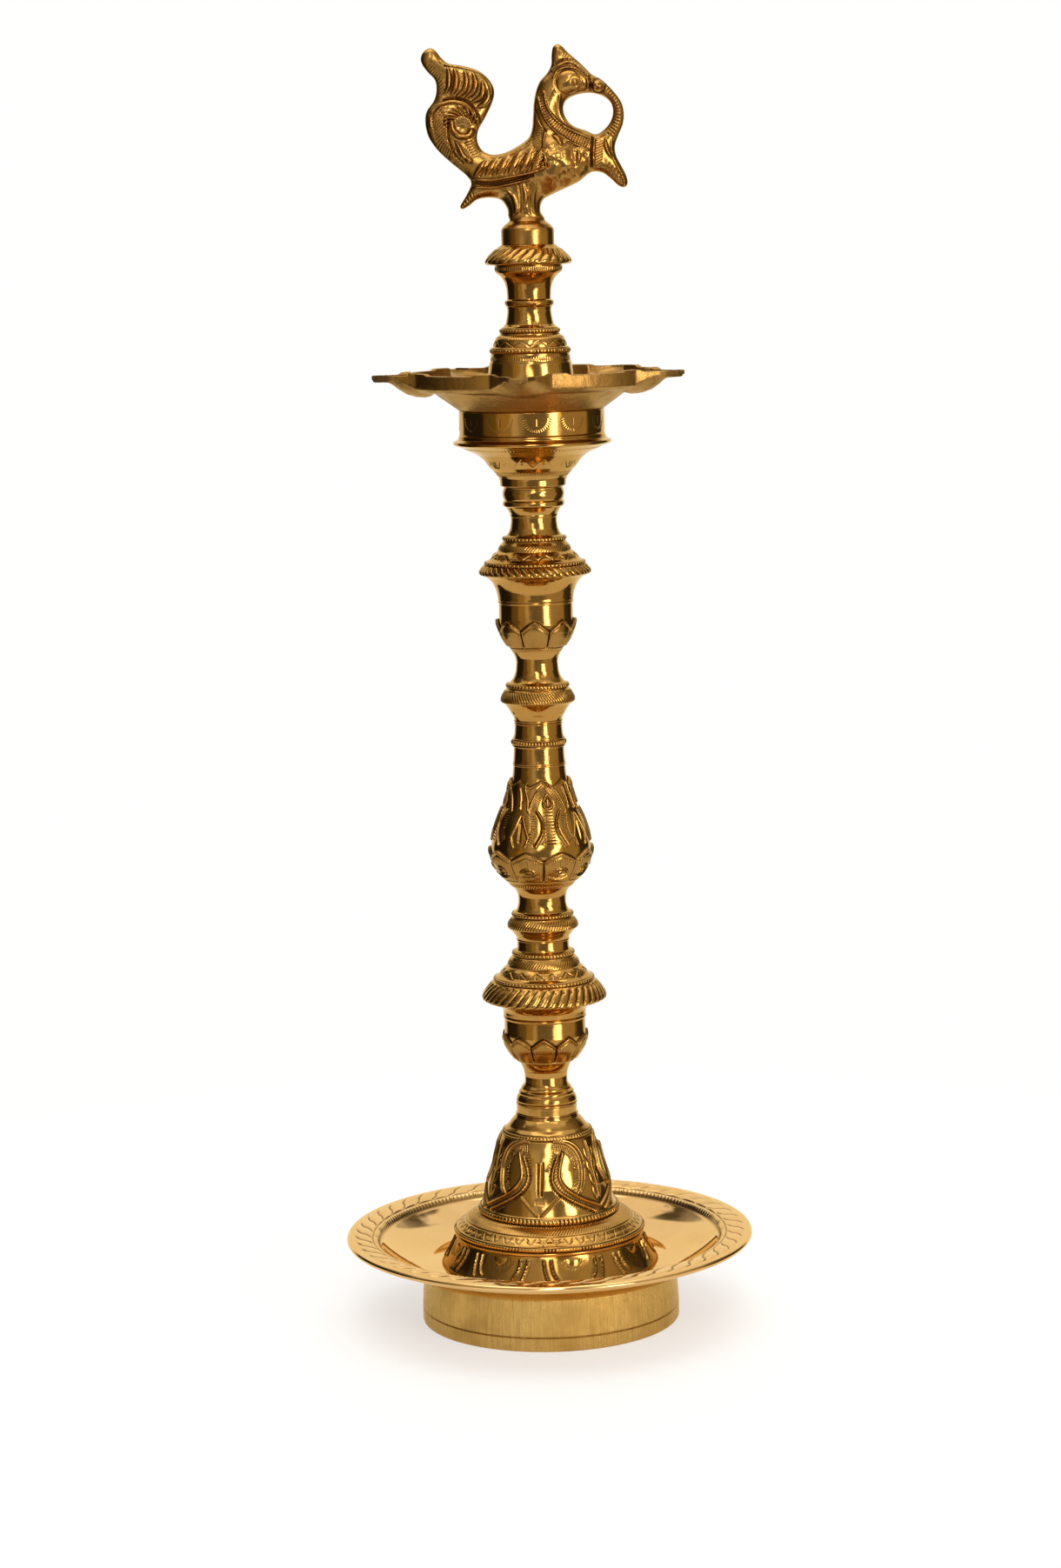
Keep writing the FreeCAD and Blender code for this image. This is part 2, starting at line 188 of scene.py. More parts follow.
def mesh_object(name, verts, quads, cut, tris=()):
    """A smooth mesh object from arrays in millimetres. cut is how far each vertex is darkened, from
    0 to 1.
    """
    tris = np.array(tris, int).reshape(-1, 3)
    mesh = bpy.data.meshes.new(name)
    mesh.vertices.add(len(verts))
    mesh.vertices.foreach_set("co", (verts * MM).astype(np.float32).ravel())
    loops = np.concatenate([quads.ravel(), tris.ravel()])
    starts = np.concatenate([np.arange(len(quads)) * 4, len(quads) * 4 + np.arange(len(tris)) * 3])
    mesh.loops.add(len(loops))
    mesh.loops.foreach_set("vertex_index", loops.astype(np.int32))
    mesh.polygons.add(len(starts))
    mesh.polygons.foreach_set("loop_start", starts.astype(np.int32))
    mesh.update(calc_edges=True)
    mesh.validate()
    mesh.polygons.foreach_set("use_smooth", np.ones(len(mesh.polygons), bool))
    mesh.set_sharp_from_angle(angle=math.radians(SHARP_DEG))
    layer = mesh.attributes.new("cut", "FLOAT", "POINT")
    layer.data.foreach_set("value", cut.astype(np.float32))
    return link(bpy.data.objects.new(name, mesh))


def grid_quads(rows, columns, close_rows=False):
    """Quads of a grid whose columns wrap round, and whose rows may too."""
    last = rows if close_rows else rows - 1
    i = np.repeat(np.arange(last), columns)
    j = np.tile(np.arange(columns), last)
    k, m = (i + 1) % rows, (j + 1) % columns
    return np.stack([i * columns + j, i * columns + m, k * columns + m, k * columns + j], 1)


def blurred(height, passes):
    for _ in range(passes):
        height = (np.roll(height, 1, 1) + np.roll(height, -1, 1) + 2 * height) / 4
        up = np.vstack([height[:1], height[:-1]])
        down = np.vstack([height[1:], height[-1:]])
        height = (up + down + 2 * height) / 4
    return height


class Surface:
    """The surface of a turned casting, on which relief is raised and cut, in millimetres.

    th is the azimuth measured from the front, s the length along the outline from its lowest
    point, z the height, r the radius and h the relief along the outward normal."""

    def __init__(self, outline, columns, step):
        points = sample_outline(outline, step)
        self.rows, self.columns = len(points), columns
        gaps = np.hypot(*np.diff(points, axis=0).T)
        run = np.concatenate([[0], np.cumsum(gaps)])
        tangent = np.gradient(points, run, axis=0)
        tangent /= np.linalg.norm(tangent, axis=1)[:, None]
        self.normal = np.stack([tangent[:, 1], -tangent[:, 0]], 1)
        self.points, self.run = points, run
        self.angle = np.arange(columns) * TWO_PI / columns
        facing = (self.angle - FRONT + math.pi) % TWO_PI - math.pi
        shape = (self.rows, columns)
        self.th = np.broadcast_to(facing, shape)
        self.s = np.broadcast_to(run[:, None], shape)
        self.z = np.broadcast_to(points[:, 1][:, None], shape)
        self.r = np.broadcast_to(points[:, 0][:, None], shape)
        self.h = np.zeros(shape)
        self.dull = np.zeros(shape)

    def at(self, height):
        """Length along the outline at which it first reaches a height."""
        above = np.nonzero(self.points[:, 1] >= height - 1e-6)[0]
        return self.run[above[0]] if len(above) else self.run[-1]

    def across(self, count, phase_deg=0.0):
        """Place between two neighbouring boundaries, of count round the surface, from -1 to 1."""
        step = TWO_PI / count
        return ((self.th - math.radians(phase_deg) + step / 2) % step - step / 2) / (step / 2)

    def cell(self, count, phase_deg=0.0):
        """Signed distance, in millimetres round the surface, from the nearest of count axes."""
        return self.across(count, phase_deg) * (math.pi / count) * self.r

    def slanting(self, low, high, count, slant_deg):
        """Count of slanting marks passed round a band, and a mask of the band."""
        a, b = self.at(low), self.at(high)
        along = (self.s - a) / (b - a)
        return (self.th - math.radians(slant_deg) * along) * count / TWO_PI, a, b

    def ring(self, height, width, rise):
        """A rounded ring, or a groove where rise is negative."""
        self.h += rise * rounded(np.abs(self.s - self.at(height)), width)

    def beads(self, height, count, width, rise):
        """A row of upright beads between two fine grooves."""
        v = self.s - self.at(height)
        u = self.across(count)
        self.h += rise * round_bar(v / width) * round_bar(u * 0.92)
        self.h -= 0.5 * rise * window(v, -width, width, 0.15) * (np.abs(u) > 0.9)
        for side in (-1, 1):
            self.h -= 0.45 * rise * rounded(np.abs(v - side * (width + 0.25)), 0.35)

    def rope(self, low, high, count, slant_deg, rise):
        """Slanting flutes like the strands of a rope, from one height to another."""
        phase, a, b = self.slanting(low, high, count, slant_deg)
        self.h += window(self.s, a, b, 0.35) * rise * (round_bar(2 * (phase % 1.0) - 1) - 0.75)

    def hatch(self, low, high, count, slant_deg, depth):
        """Fine slanting cuts round a band."""
        phase, a, b = self.slanting(low, high, count, slant_deg)
        self.h -= window(self.s, a, b, 0.2) * depth * teeth(phase)

    def stroke(self, count, path, width, rise, phase_deg=0.0, mirror=False, on_top=False):
        """A raised (or, with a negative rise, cut) line, repeated round the piece.

        path is in (mm from the motif's axis, height in mm): a list of corners for a smooth
        curve, or an array of points. on_top adds it to the relief under it."""
        u = self.cell(count, phase_deg)
        path = smooth_path(path) if isinstance(path, list) else path
        line = rounded(path_distance(np.abs(u) if mirror else u, self.z, path, width * 1.05), width)
        if rise > 0 and not on_top:
            self.h = np.maximum(self.h, rise * line + np.minimum(self.h, 0) * (line <= 0))
        else:
            self.h += rise * line

    def petals(self, count, phase_deg, foot, shoulder, tip, rise):
        """A ring of overlapping lotus petals with pointed tips and creased sides."""
        side = np.abs(self.across(count, phase_deg))
        half = math.pi / count * self.r
        top = shoulder + (tip - shoulder) * (1 - side ** 1.25)
        below = smoothstep(0.3, -0.2, self.z - top)
        above_foot = smoothstep(foot - 0.5, foot + 0.3, self.z)
        pillow = 0.55 + 0.45 * round_bar(side)
        swell = 0.55 + 0.45 * smoothstep(foot, shoulder, self.z)
        self.h += rise * below * above_foot * pillow * swell
        self.dull = np.maximum(self.dull, 0.3 * below * above_foot)
        self.h += 0.28 * rounded(np.abs(self.z - top + 0.55), 0.5) * above_foot
        inner_line = rounded(np.abs(self.z - top + 1.75), 0.42) * (side < 0.86)
        self.h -= 0.22 * inner_line * above_foot
        inner_side = rounded(np.abs(half * (1 - side) - 1.35), 0.4)
        self.h -= 0.22 * inner_side * window(self.z, foot + 1.0, shoulder - 0.6, 0.4)
        crease = rounded(half - np.abs(self.cell(count, phase_deg)), 0.55)
        self.h -= 0.55 * rise * crease * window(self.z, foot, shoulder + 0.6, 0.4)

    def petal_hatch(self, count, phase_deg, low, high, depth=0.16):
        """Short upright cuts that fan over the upper part of each petal."""
        fan = self.across(count, phase_deg)
        self.h -= depth * teeth(fan * 9, 0.5) * window(self.z, low, high, 0.3) * (np.abs(fan) < 0.8)

    def zigzag(self, low, high, count, width, depth, phase_deg=0.0):
        """A cut zigzag line round a band."""
        line = low + (high - low) * np.abs(self.across(count, phase_deg))
        slope = (high - low) / (math.pi / count * self.r)
        away = np.abs(self.z - line) / np.sqrt(1 + slope ** 2)
        self.h -= depth * rounded(away, width) * window(self.z, low - 0.3, high + 0.3, 0.15)

    def ladder(self, count, phase_deg, low, high, half_width, pitch, depth):
        """A column of short level cuts, like the rungs of a ladder."""
        aside = np.abs(self.cell(count, phase_deg))
        keep = window(self.z, low, high, 0.2) * (1 - smoothstep(half_width - 0.25, half_width,
            aside))
        self.h -= depth * teeth(self.z / pitch) * keep

    def fringe(self, count, path, inner, outer, pitch, depth, phase_deg=0.0):
        """Cuts that stand square to a path, between two distances from it, like a feather's barbs.
        They are mirrored about the motif's axis."""
        reach = max(abs(inner), abs(outer)) + 0.5
        u = np.abs(self.cell(count, phase_deg))
        distance, place, run, side = nearest(u, self.z, path, reach)
        keep = window(distance * side, inner, outer, 0.15)
        keep = keep * (place > pitch * 0.5) * (place < run - pitch * 0.5)
        self.h -= depth * teeth(place / pitch) * keep

    def build(self, name, bore=BORE_R):
        """The closed mesh of the relief surface. bore is the radius of the hole through it, None
        where the outline already goes all the way round, and 0 for a solid rod."""
        self.h[[0, -1]] = 0
        radius = self.r + self.normal[:, :1] * self.h
        height = self.z + self.normal[:, 1:] * self.h
        # darker where the relief dips below its blurred surroundings, in cuts and grooves; the
        # petals' duller finish is added to it
        darkening = np.clip((blurred(self.h, 6) - self.h) / FULL_DARKENING, 0, 1)
        darkening = np.maximum(np.clip(blurred(darkening, 1) * 1.2, 0, 1), self.dull)
        low, high = self.points[0, 1], self.points[-1, 1]
        if bore:
            edge = np.ones((1, self.columns))
            radius = np.vstack([edge * bore, radius, edge * bore])
            height = np.vstack([edge * low, height, edge * high])
            darkening = np.vstack([edge * 0, darkening, edge * 0])
        rows = len(radius)
        verts = np.stack([radius * np.cos(self.angle), radius * np.sin(self.angle), height],
            -1).reshape(-1, 3)
        quads = grid_quads(rows, self.columns, close_rows=bore != 0)
        tris, cut = (), darkening.ravel()
        if bore == 0:
            verts = np.vstack([verts, [[0, 0, low], [0, 0, high]]])
            ring = np.arange(self.columns)
            after, top, hub = (ring + 1) % self.columns, (rows
                - 1) * self.columns, 0 * ring + rows * self.columns
            tris = np.vstack([np.stack([after, ring, hub], 1),
                np.stack([top + ring, top + after, hub + 1], 1)])
            cut = np.append(cut, [0, 0])
        return mesh_object(name, verts, quads, cut, tris)


# ---------------------------------------------------------------- base
RIM_FLUTES, RIM_TICKS = 50, 230     # marks round the plate's rim
PANELS, BELL_TURN = 3, -8.5         # panels round the bell, and the first one's azimuth
SCALLOPS, SCALLOP_TURN = 8, 13.8    # half-rounds on the bell's skirt


def foot_ring():
    body = Surface([(59.4, 0), (61.9, 0, 0, 0.6), (62.6, 0.7, 0.4, 0.2), (62.6, 6.2, 0, 0.7),
        (62.6, 7.6, 0, 0.12), (61.6, 24.2, 0, 0.8), (61.3, 25, 0.2, 0.2), (58.4, 25, 0, 0.8)], 480,
        0.8)
    body.ring(6.9, 0.45, -0.5)
    return body.build("foot_ring", bore=None)


def base_plate():
    """Dish drawn from its floor outwards, so that the outward normal is its top face."""
    outline = [(5.3, 25), (61.5, 25, 0, 3), (85.6, 38.3, 0.16, 1.2), (97, 39.6, 0, 0.8),
        (98.6, 40.6, 0.35, 0.2), (98.6, 41.6, 0.3, 0.2), (97.2, 42.5, 0.3, 0.2),
        (92, 42.5, 0.04, 0.34), (85.4, 41.6, 0.04, 0.34), (84.6, 41.2, 0, 0.2),
        (61.5, 27.6, -0.17, 0.8), (5.3, 27.6, 0, 3)]
    body = Surface(outline, 960, 0.4)
    radius, height = body.r, body.z
    top = (height > 41.3) & (radius > 85.2)
    # slanting S-shaped flutes, with a row of fine ticks inside them and a plain lip outside
    along = np.clip((radius - 86.4) / (95 - 86.4), 0, 1)
    sway = along + 0.09 * np.sin(TWO_PI * along)
    phase = ((body.th + math.radians(8.6) * sway) * RIM_FLUTES / TWO_PI) % 1.0
    pillow = np.clip(1 - np.abs(2 * phase - 1) ** 3.0, 0, 1) * (0.65 + 0.35 * phase)
    body.h += top * window(radius, 86.6, 94.6, 0.6) * 0.85 * (pillow - 0.55)
    cut_line = np.clip(1 - np.minimum(phase, 1 - phase) / 0.055, 0, 1)
    body.h -= top * window(radius, 87.0, 94.4, 0.5) * 0.25 * cut_line
    inner = (height > 38.0) & (radius < 86.4) & (radius > 81.0) & (body.s > body.at(42.4))
    tick = round_bar(2 * (body.th * RIM_TICKS / TWO_PI % 1.0) - 1) - 0.6
    body.h += inner * window(radius, 83.4, 85.4, 0.2) * 0.42 * tick
    for line in (86.1, 82.8):
        body.h -= 0.4 * rounded(np.abs(radius - line),
            0.45) * (body.s > body.at(41.5)) * (height > 36)
    return body.build("base_plate", bore=None)


def base_bell():
    outline = [(52.8, 27.6), (52.6, 28.6, 0, 0.3), (48.8, 34, -0.05, 0.45),
        (45.6, 40.4, -0.04, 0.45), (45.3, 41.4, 0, 0.25), (46, 42.4, 0.35, 0.25),
        (45.6, 43.4, 0.35, 0.25), (45.9, 45.4, 0.1, 0.25), (44.6, 46.4, 0.25, 0.25),
        (42.4, 48.2, 0.1, 0.4), (36.4, 52.2, 0.12, 0.4), (33.9, 53.4, -0.1, 0.3),
        (33.4, 56.2, 0.12, 0.25), (32.2, 57.2, 0, 0.25), (29.2, 69.5, -0.06, 0.4),
        (26.4, 78, -0.02, 0.4), (23.6, 88, 0.05, 0.4), (21.5, 92, 0.06, 0.3), (21, 94, 0.1, 0.22),
        (18.8, 96, 0.02, 0.3), (15.4, 100.2, 0.06, 0.3), (15.1, 101.5, 0, 0.3)]
    body = Surface(outline, 720, 0.4)
    # beaded rows
    body.beads(93.0, 80, 1.05, 0.55)
    body.beads(54.9, 104, 1.3, 0.7)
    body.beads(44.5, 176, 1.0, 0.6)
    # shoulder: fine leaning hatch above, a row of V cuts below
    body.hatch(50.4, 53.3, 176, 6.0, 0.24)
    v = body.across(44, 4.0)
    v_line = 46.6 + 3.4 * np.abs(v)
    cut_v = rounded(np.abs(body.z - v_line) * 0.75, 0.3) * window(body.z, 46.8, 49.2,
        0.2) * (np.abs(v) < 0.8)
    body.h -= 0.26 * cut_v
    body.ring(50.0, 0.35, -0.25)
    # bell body: three panels framed by double ribs that flare out to the foot of the bell
    inner_rib = smooth_path([(8.3, 85), (7.1, 82), (6.1, 78.5), (6, 74), (8.6, 69.6), (13.6, 65.6),
        (21, 61.6), (29.6, 57.6)])
    outer_rib = smooth_path([(10.9, 86.6), (9.9, 83), (9.2, 79), (9.3, 75), (12, 70.8),
        (17.2, 66.8), (24.4, 63), (32.6, 59.4)])
    for path, high in ((inner_rib, 1.0), (outer_rib, 1.1)):
        body.stroke(PANELS, path, 0.8, high, BELL_TURN, mirror=True)
    body.stroke(PANELS, inner_rib + np.array([-1.05, -0.5]), 0.4, -0.3, BELL_TURN, mirror=True)
    body.stroke(PANELS, [(10.4, 86.4), (10, 83.8)], 0.95, 1.35, BELL_TURN, mirror=True)
    # a V at the foot of each panel, two upright strokes on its axis and ticks below them
    body.stroke(PANELS, [(9.4, 66.4), (5.8, 62.6), (0.9, 57.6)], 0.55, 0.75, BELL_TURN, mirror=True)
    body.stroke(PANELS, np.array([(1.3, 82), (1.2, 75), (0.9, 67.4)]), 0.7, -0.55, BELL_TURN,
        mirror=True)
    body.stroke(PANELS, [(0, 81), (0, 67.6)], 0.6, 0.5, BELL_TURN)
    axis = body.cell(PANELS, BELL_TURN)
    body.h -= 0.25 * teeth(axis / 0.8) * window(body.z, 62.4, 65.6, 0.2) * (np.abs(axis) < 2.2)
    # barbs outside the ribs, a smooth field, then a hatched arch
    body.fringe(PANELS, outer_rib, -4.9, -1.4, 1.2, 0.42, BELL_TURN)
    arch = smooth_path([(6, 91.6), (11.6, 90.6), (16.8, 87.2), (19.8, 82), (20.8, 76),
        (20.4, 70.6), (18.6, 67.2)])
    body.stroke(PANELS, arch, 0.7, 0.95, BELL_TURN, mirror=True)
    body.stroke(PANELS, arch + np.array([1.9, 0.5]), 0.6, 0.8, BELL_TURN, mirror=True)
    body.fringe(PANELS, arch, -4.0, -1.1, 1.15, 0.4, BELL_TURN)
    # the narrow leaf between two panels, with gouges either side of its rib
    body.stroke(PANELS, [(0, 90), (0, 64)], 0.75, 0.9, BELL_TURN + 180 / PANELS)
    for side_z in (84, 78, 72, 66):
        body.stroke(PANELS, [(1.3, side_z - 2.6), (2.6, side_z), (2.8, side_z + 2.6)], 0.6, -0.38,
            BELL_TURN + 180 / PANELS, mirror=True)
    # skirt: hatched half-rounds with groups of leaning flutes between them
    u = body.cell(SCALLOPS, SCALLOP_TURN)
    centre_z = 40.2
    reach = np.hypot(u, (body.z - centre_z) * 1.1)
    half = body.z < centre_z
    tick = teeth(np.arctan2(body.z - centre_z, u) * 24 / math.pi)
    body.h -= 0.26 * tick * half * window(reach, 4.4, 7.2, 0.2)
    body.h -= 0.25 * half * rounded(np.abs(reach - 3.8), 0.4)
    body.h += 0.35 * half * np.clip(1 - (reach / 3.2) ** 2, 0, 1)
    for start, lean, low in ((10.6, -1.9, 31.6), (14.2, -0.9, 30.6)):
        path = [(start, 39.8), (start + 0.1, 36.4), (start + lean * 0.25, 33.6),
            (start + lean, low)]
        body.stroke(SCALLOPS, path, 0.66, 0.95, SCALLOP_TURN, mirror=True)
    body.ring(28.6, 0.35, -0.25)
    return body.build("base_bell")


# ---------------------------------------------------------------- lower stem
def bell_collar():
    body = Surface([(14.4, 101.5), (14.75, 101.9, 0.2, 0.12), (14.6, 102.4), (14.55, 106.2),
        (14.9, 106.7, 0.3, 0.1), (14.3, 107.3, 0.3, 0.1), (14.5, 109, 0.3), (13.6, 110.9, 0.15),
        (13.3, 111.2), (12.9, 112.9, 0.3), (12, 113.5), (11.6, 114.9, 0.35), (11, 115.6),
        (10.4, 117.2, -0.2), (10.3, 120)], 400, 0.22)
    return body.build("bell_collar")


def lower_lotus_cup():
    body = Surface([(10.3, 120), (12.2, 126.2, -0.12), (12.6, 126.9), (19, 137.6, 0.16),
        (19.6, 141, 0.05), (19.5, 148.6), (19.85, 149.1, 0.3, 0.12), (19.85, 150.1, 0.4, 0.12),
        (19.5, 150.5, 0.2, 0.12), (19.9, 151, 0.3, 0.12), (20, 152.5)], 540, 0.3)
    body.ring(128.6, 0.3, -0.3)
    body.petals(10, -2.5, 129.4, 137.4, 141.7, 1.5)
    body.petal_hatch(10, -2.5, 135.4, 138.2)
    body.ring(128.0, 0.5, 0.35)
    body.ring(122.6, 0.3, -0.12)
    return body.build("lower_lotus_cup")


def lower_rope_flange():
    body = Surface([(20, 152.5), (20.3, 153.4, -0.05), (22.6, 155.8, -0.1), (27.6, 157.6, -0.12),
        (29.4, 158.4, 0.1), (29.85, 159.6, 0.3), (29, 161.6, 0.15), (26.8, 164.8, 0.06),
        (25, 166.8, -0.05), (24.2, 167.5), (23.6, 169.2, 0.2), (22.2, 169.9), (21.2, 170.6),
        (19.2, 173.4, 0.08), (17.8, 174.6), (17.6, 175), (16, 178.2, 0.14), (15.2, 179.2),
        (14.7, 179.6), (14.4, 181.8, 0.25), (13.1, 182.3), (12.5, 183.8, -0.2), (12.4, 186.7)],
        600, 0.26)
    body.rope(158.3, 166.6, 38, 11.0, 0.95)
    body.beads(168.4, 74, 0.72, 0.38)
    body.beads(180.7, 50, 0.85, 0.4)
    body.hatch(175.4, 178.0, 76, 6.0, 0.16)
    body.zigzag(170.9, 173.6, 16, 0.34, 0.36)
    triangle = np.clip(1 - np.abs(body.across(32)) / 0.22, 0, 1)
    body.h -= 0.2 * window(body.z, 170.9, 172.0, 0.15) * triangle
    body.ring(174.7, 0.28, -0.22)
    return body.build("lower_rope_flange")


def lower_baluster():
    body = Surface([(12.4, 186.7), (12.9, 187.2, 0.3, 0.12), (12.5, 187.8, 0.1, 0.12),
        (14.2, 190.5, -0.1), (16.6, 193, -0.08), (17, 194.2, 0.3), (16.6, 195.9, 0.15),
        (15, 198, 0.05), (14.5, 198.8), (14.3, 200.6, 0.25), (13, 201.2), (11.9, 203.4, -0.12),
        (11.5, 205.4, -0.05), (11.5, 206.9)], 480, 0.22)
    body.hatch(193.4, 198.0, 72, 9.0, 0.3)
    body.beads(199.8, 52, 0.8, 0.38)
    return body.build("lower_baluster")


# ---------------------------------------------------------------- middle stem
def vase():
    body = Surface([(11.5, 206.9), (11.6, 208.6), (12.2, 210.8, -0.06), (14.4, 213.4, -0.06),
        (14.9, 213.8, 0.2, 0.15), (16.2, 215.4, 0.1), (17.4, 216.2), (18, 217.2),
        (22.4, 224.8, 0.06), (24, 231, 0.06), (24, 233), (23.3, 236.4, 0.05), (21.6, 243, 0.04),
        (19.2, 249.1, 0.03), (15.4, 258.4, -0.02), (13.2, 265.8, -0.04), (12.6, 270.6, -0.04),
        (12.4, 271.9), (12.75, 272.3, 0.3, 0.1), (12.5, 272.8, 0.2, 0.1), (12.75, 273.2, 0.3, 0.1),
        (12.5, 273.6)], 600, 0.3)
    body.hatch(213.9, 216.0, 78, 4.0, 0.26)
    body.ring(217.0, 0.5, 0.3)
    foot = (9, 22.7)    # petals of the lotus foot, and the first one's azimuth
    body.petals(*foot, 218.2, 228.6, 232.6, 1.35)
    # an eye-shaped curl and fine rays on each petal of the lotus foot
    curl = [(-3.6, 223.6), (-1.2, 225.2), (1.8, 225.2), (3.6, 223.4), (1.4, 222), (-1.4, 222.2),
        (-1, 223.6), (1, 223.8)]
    body.stroke(9, curl, 0.5, 0.62, 22.7, on_top=True)
    body.stroke(9, [(-5, 221), (-2, 219.9), (1.6, 219.9), (4.4, 221.2)], 0.45, 0.5, 22.7,
        on_top=True)
    body.stroke(9, [(-6.4, 228.4), (-5.2, 225), (-4.6, 221.6)], 0.4, -0.35, 22.7, mirror=True)
    body.stroke(9, [(-2.8, 221.2), (0, 220.9), (2.6, 221.4)], 0.38, -0.42, 22.7)
    body.petal_hatch(*foot, 226.4, 229.6, 0.26)
    # four tall leaves with a laddered spine, a drop above it and a bracket either side
    for spin in (12, 102, 192, 282):
        body.ladder(1, spin, 236.2, 252.2, 2.3, 1.45, 0.42)
        body.ladder(1, spin, 236.2, 238.6, 3.4, 1.45, 0.25)
        bracket = smooth_path([(5.2, 251.6), (3.9, 249.2), (3, 246), (3.6, 242), (5.6, 238.6),
            (7.6, 235.6)])
        body.stroke(1, bracket, 0.62, 1.0, spin, mirror=True)
        body.stroke(1, bracket + np.array([1.05, 0.4]), 0.45, -0.45, spin, mirror=True)
        drop = smooth_path([(0, 259.6), (1.3, 257.6), (2.1, 255.4), (1.5, 253.5), (0, 252.9)])
        body.stroke(1, drop, 0.6, 0.95, spin, mirror=True)
        body.stroke(1, [(0, 257), (0, 254.6)], 0.8, 0.6, spin)
        edge = smooth_path([(0.2, 264.6), (2.6, 262.4), (5.2, 259.4), (7.4, 255.6), (9.4, 251.6)])
        body.stroke(1, edge, 0.5, 0.65, spin, mirror=True)
        body.fringe(1, edge, -3.2, -0.7, 1.0, 0.4, spin)
        barbs = smooth_path([(6.6, 251.6), (6.2, 247), (6.6, 243), (8.4, 239), (10, 236.4)])
        body.fringe(1, barbs, 0.2, 3.1, 1.2, 0.42, spin)
    # narrow leaves between them: two tapering strokes that part downwards, and one above
    for spin in (-27, 55, 147, 237):
        body.stroke(1, [(0.5, 249.6), (1.9, 246), (3.4, 242.6), (4.6, 239.8)], 0.75, 1.15, spin,
            mirror=True)
        body.stroke(1, [(4.4, 240), (3.9, 237.6), (3, 235.4)], 0.6, 0.9, spin, mirror=True)
        body.stroke(1, [(0, 264.4), (0.5, 260.8), (1.8, 257), (2.4, 252.4)], 0.7, 1.0, spin)
        body.stroke(1, [(-2.6, 262), (-1.8, 257.6), (-1.7, 252.8)], 0.5, 0.7, spin)
        body.stroke(1, [(0, 246.4), (0, 238)], 0.9, -0.55, spin)
    # overlapping leaf tips stand proud at the neck
    t = np.abs(body.across(8, 3.0))
    tip = 266.0 - 3.2 * t ** 0.8
    collar = smoothstep(0.25, -0.15, body.z - tip) * smoothstep(253.0, 265.0, body.z)
    body.h += 1.15 * collar
    body.h -= 0.3 * rounded(np.abs(body.z - tip + 0.9), 0.5)
    return body.build("vase")


def bead_collar():
    body = Surface([(12.5, 273.6), (12.3, 275), (12.15, 277.6), (12.05, 280.8),
        (12.5, 281.5, -0.2, 0.12), (12.5, 284.6, 0, 0.16), (12.2, 285.4, -0.2, 0.12),
        (11.6, 287.4, -0.06), (11.4, 290), (11.35, 291.9), (11.65, 292.3, 0.3, 0.1),
        (11.35, 292.6, 0.2, 0.1), (11.3, 293)], 480, 0.24)
    v = body.s - body.at(283.1)
    u = body.cell(52)
    body.h += np.sqrt(np.clip(0.86 ** 2 - u ** 2 * 1.15 - (v * 0.75) ** 2, 0, None))
    for side in (-1, 1):
        body.h += 0.3 * rounded(np.abs(v - side * 1.65), 0.35)
    return body.build("bead_collar")


# ---------------------------------------------------------------- upper stem
def upper_baluster():
    body = Surface([(11.2, 293), (11.75, 293.5, 0.3, 0.1), (11.4, 294.1, 0.1, 0.1),
        (12.9, 297.1, -0.08), (15.2, 300.8, -0.06), (17.2, 302.5, -0.06), (17.8, 303.6, 0.3),
        (17.5, 305.3, 0.15), (15.6, 308.4, 0.05), (14.8, 309.2), (14.4, 311.6, 0.25), (13, 312.2),
        (11.2, 314.6, -0.06), (10.2, 318, -0.06), (9.95, 321.5)], 480, 0.22)
    body.hatch(302.8, 308.2, 76, -10.0, 0.32)
    body.beads(310.6, 50, 0.95, 0.42)
    return body.build("upper_baluster")


def upper_lotus_cup():
    body = Surface([(9.95, 321.5), (10.3, 323.6), (11.8, 326.8, -0.06), (12.4, 327.8),
        (16.8, 336.4, 0.1), (17.9, 340.6, 0.06), (17.6, 343), (17.55, 349.8),
        (17.9, 350.2, 0.3, 0.1), (17.9, 350.9, 0.3, 0.1), (17.6, 351.2, 0.2, 0.1),
        (17.95, 351.6, 0.3, 0.1), (18, 352.6)], 520, 0.28)
    body.hatch(327.0, 328.6, 70, 3.0, 0.2)
    body.ring(328.9, 0.3, -0.3)
    body.petals(8, -2.3, 329.6, 337.6, 342.3, 1.35)
    body.petal_hatch(8, -2.3, 331.4, 333.8, 0.12)
    return body.build("upper_lotus_cup")


def upper_rope_flange():
    body = Surface([(18, 352.6), (18.3, 354.4), (20.4, 359.6, -0.08), (24.6, 363.2, -0.1),
        (26.2, 363.9, 0.1), (26.6, 364.9, 0.3), (25.9, 366.2, 0.15), (24.4, 367.9, 0.03),
        (23.9, 368.3), (23.3, 370, 0.25), (22, 370.6), (21, 371.4), (19.2, 373.8, 0.05),
        (17.8, 374.6), (17.4, 375), (16.3, 377.6, 0.15), (15.2, 378.9), (14.9, 379.4),
        (14.5, 381.6, 0.25), (13, 382.2), (11.3, 385.6, -0.08), (10.9, 388.4)], 560, 0.25)
    body.rope(363.6, 368.1, 40, -9.0, 0.8)
    body.beads(369.2, 70, 0.72, 0.36)
    body.beads(380.6, 48, 0.9, 0.42)
    body.hatch(375.2, 377.6, 70, 7.0, 0.18)
    body.zigzag(371.4, 373.8, 18, 0.34, 0.34, 4.0)
    return body.build("upper_rope_flange")


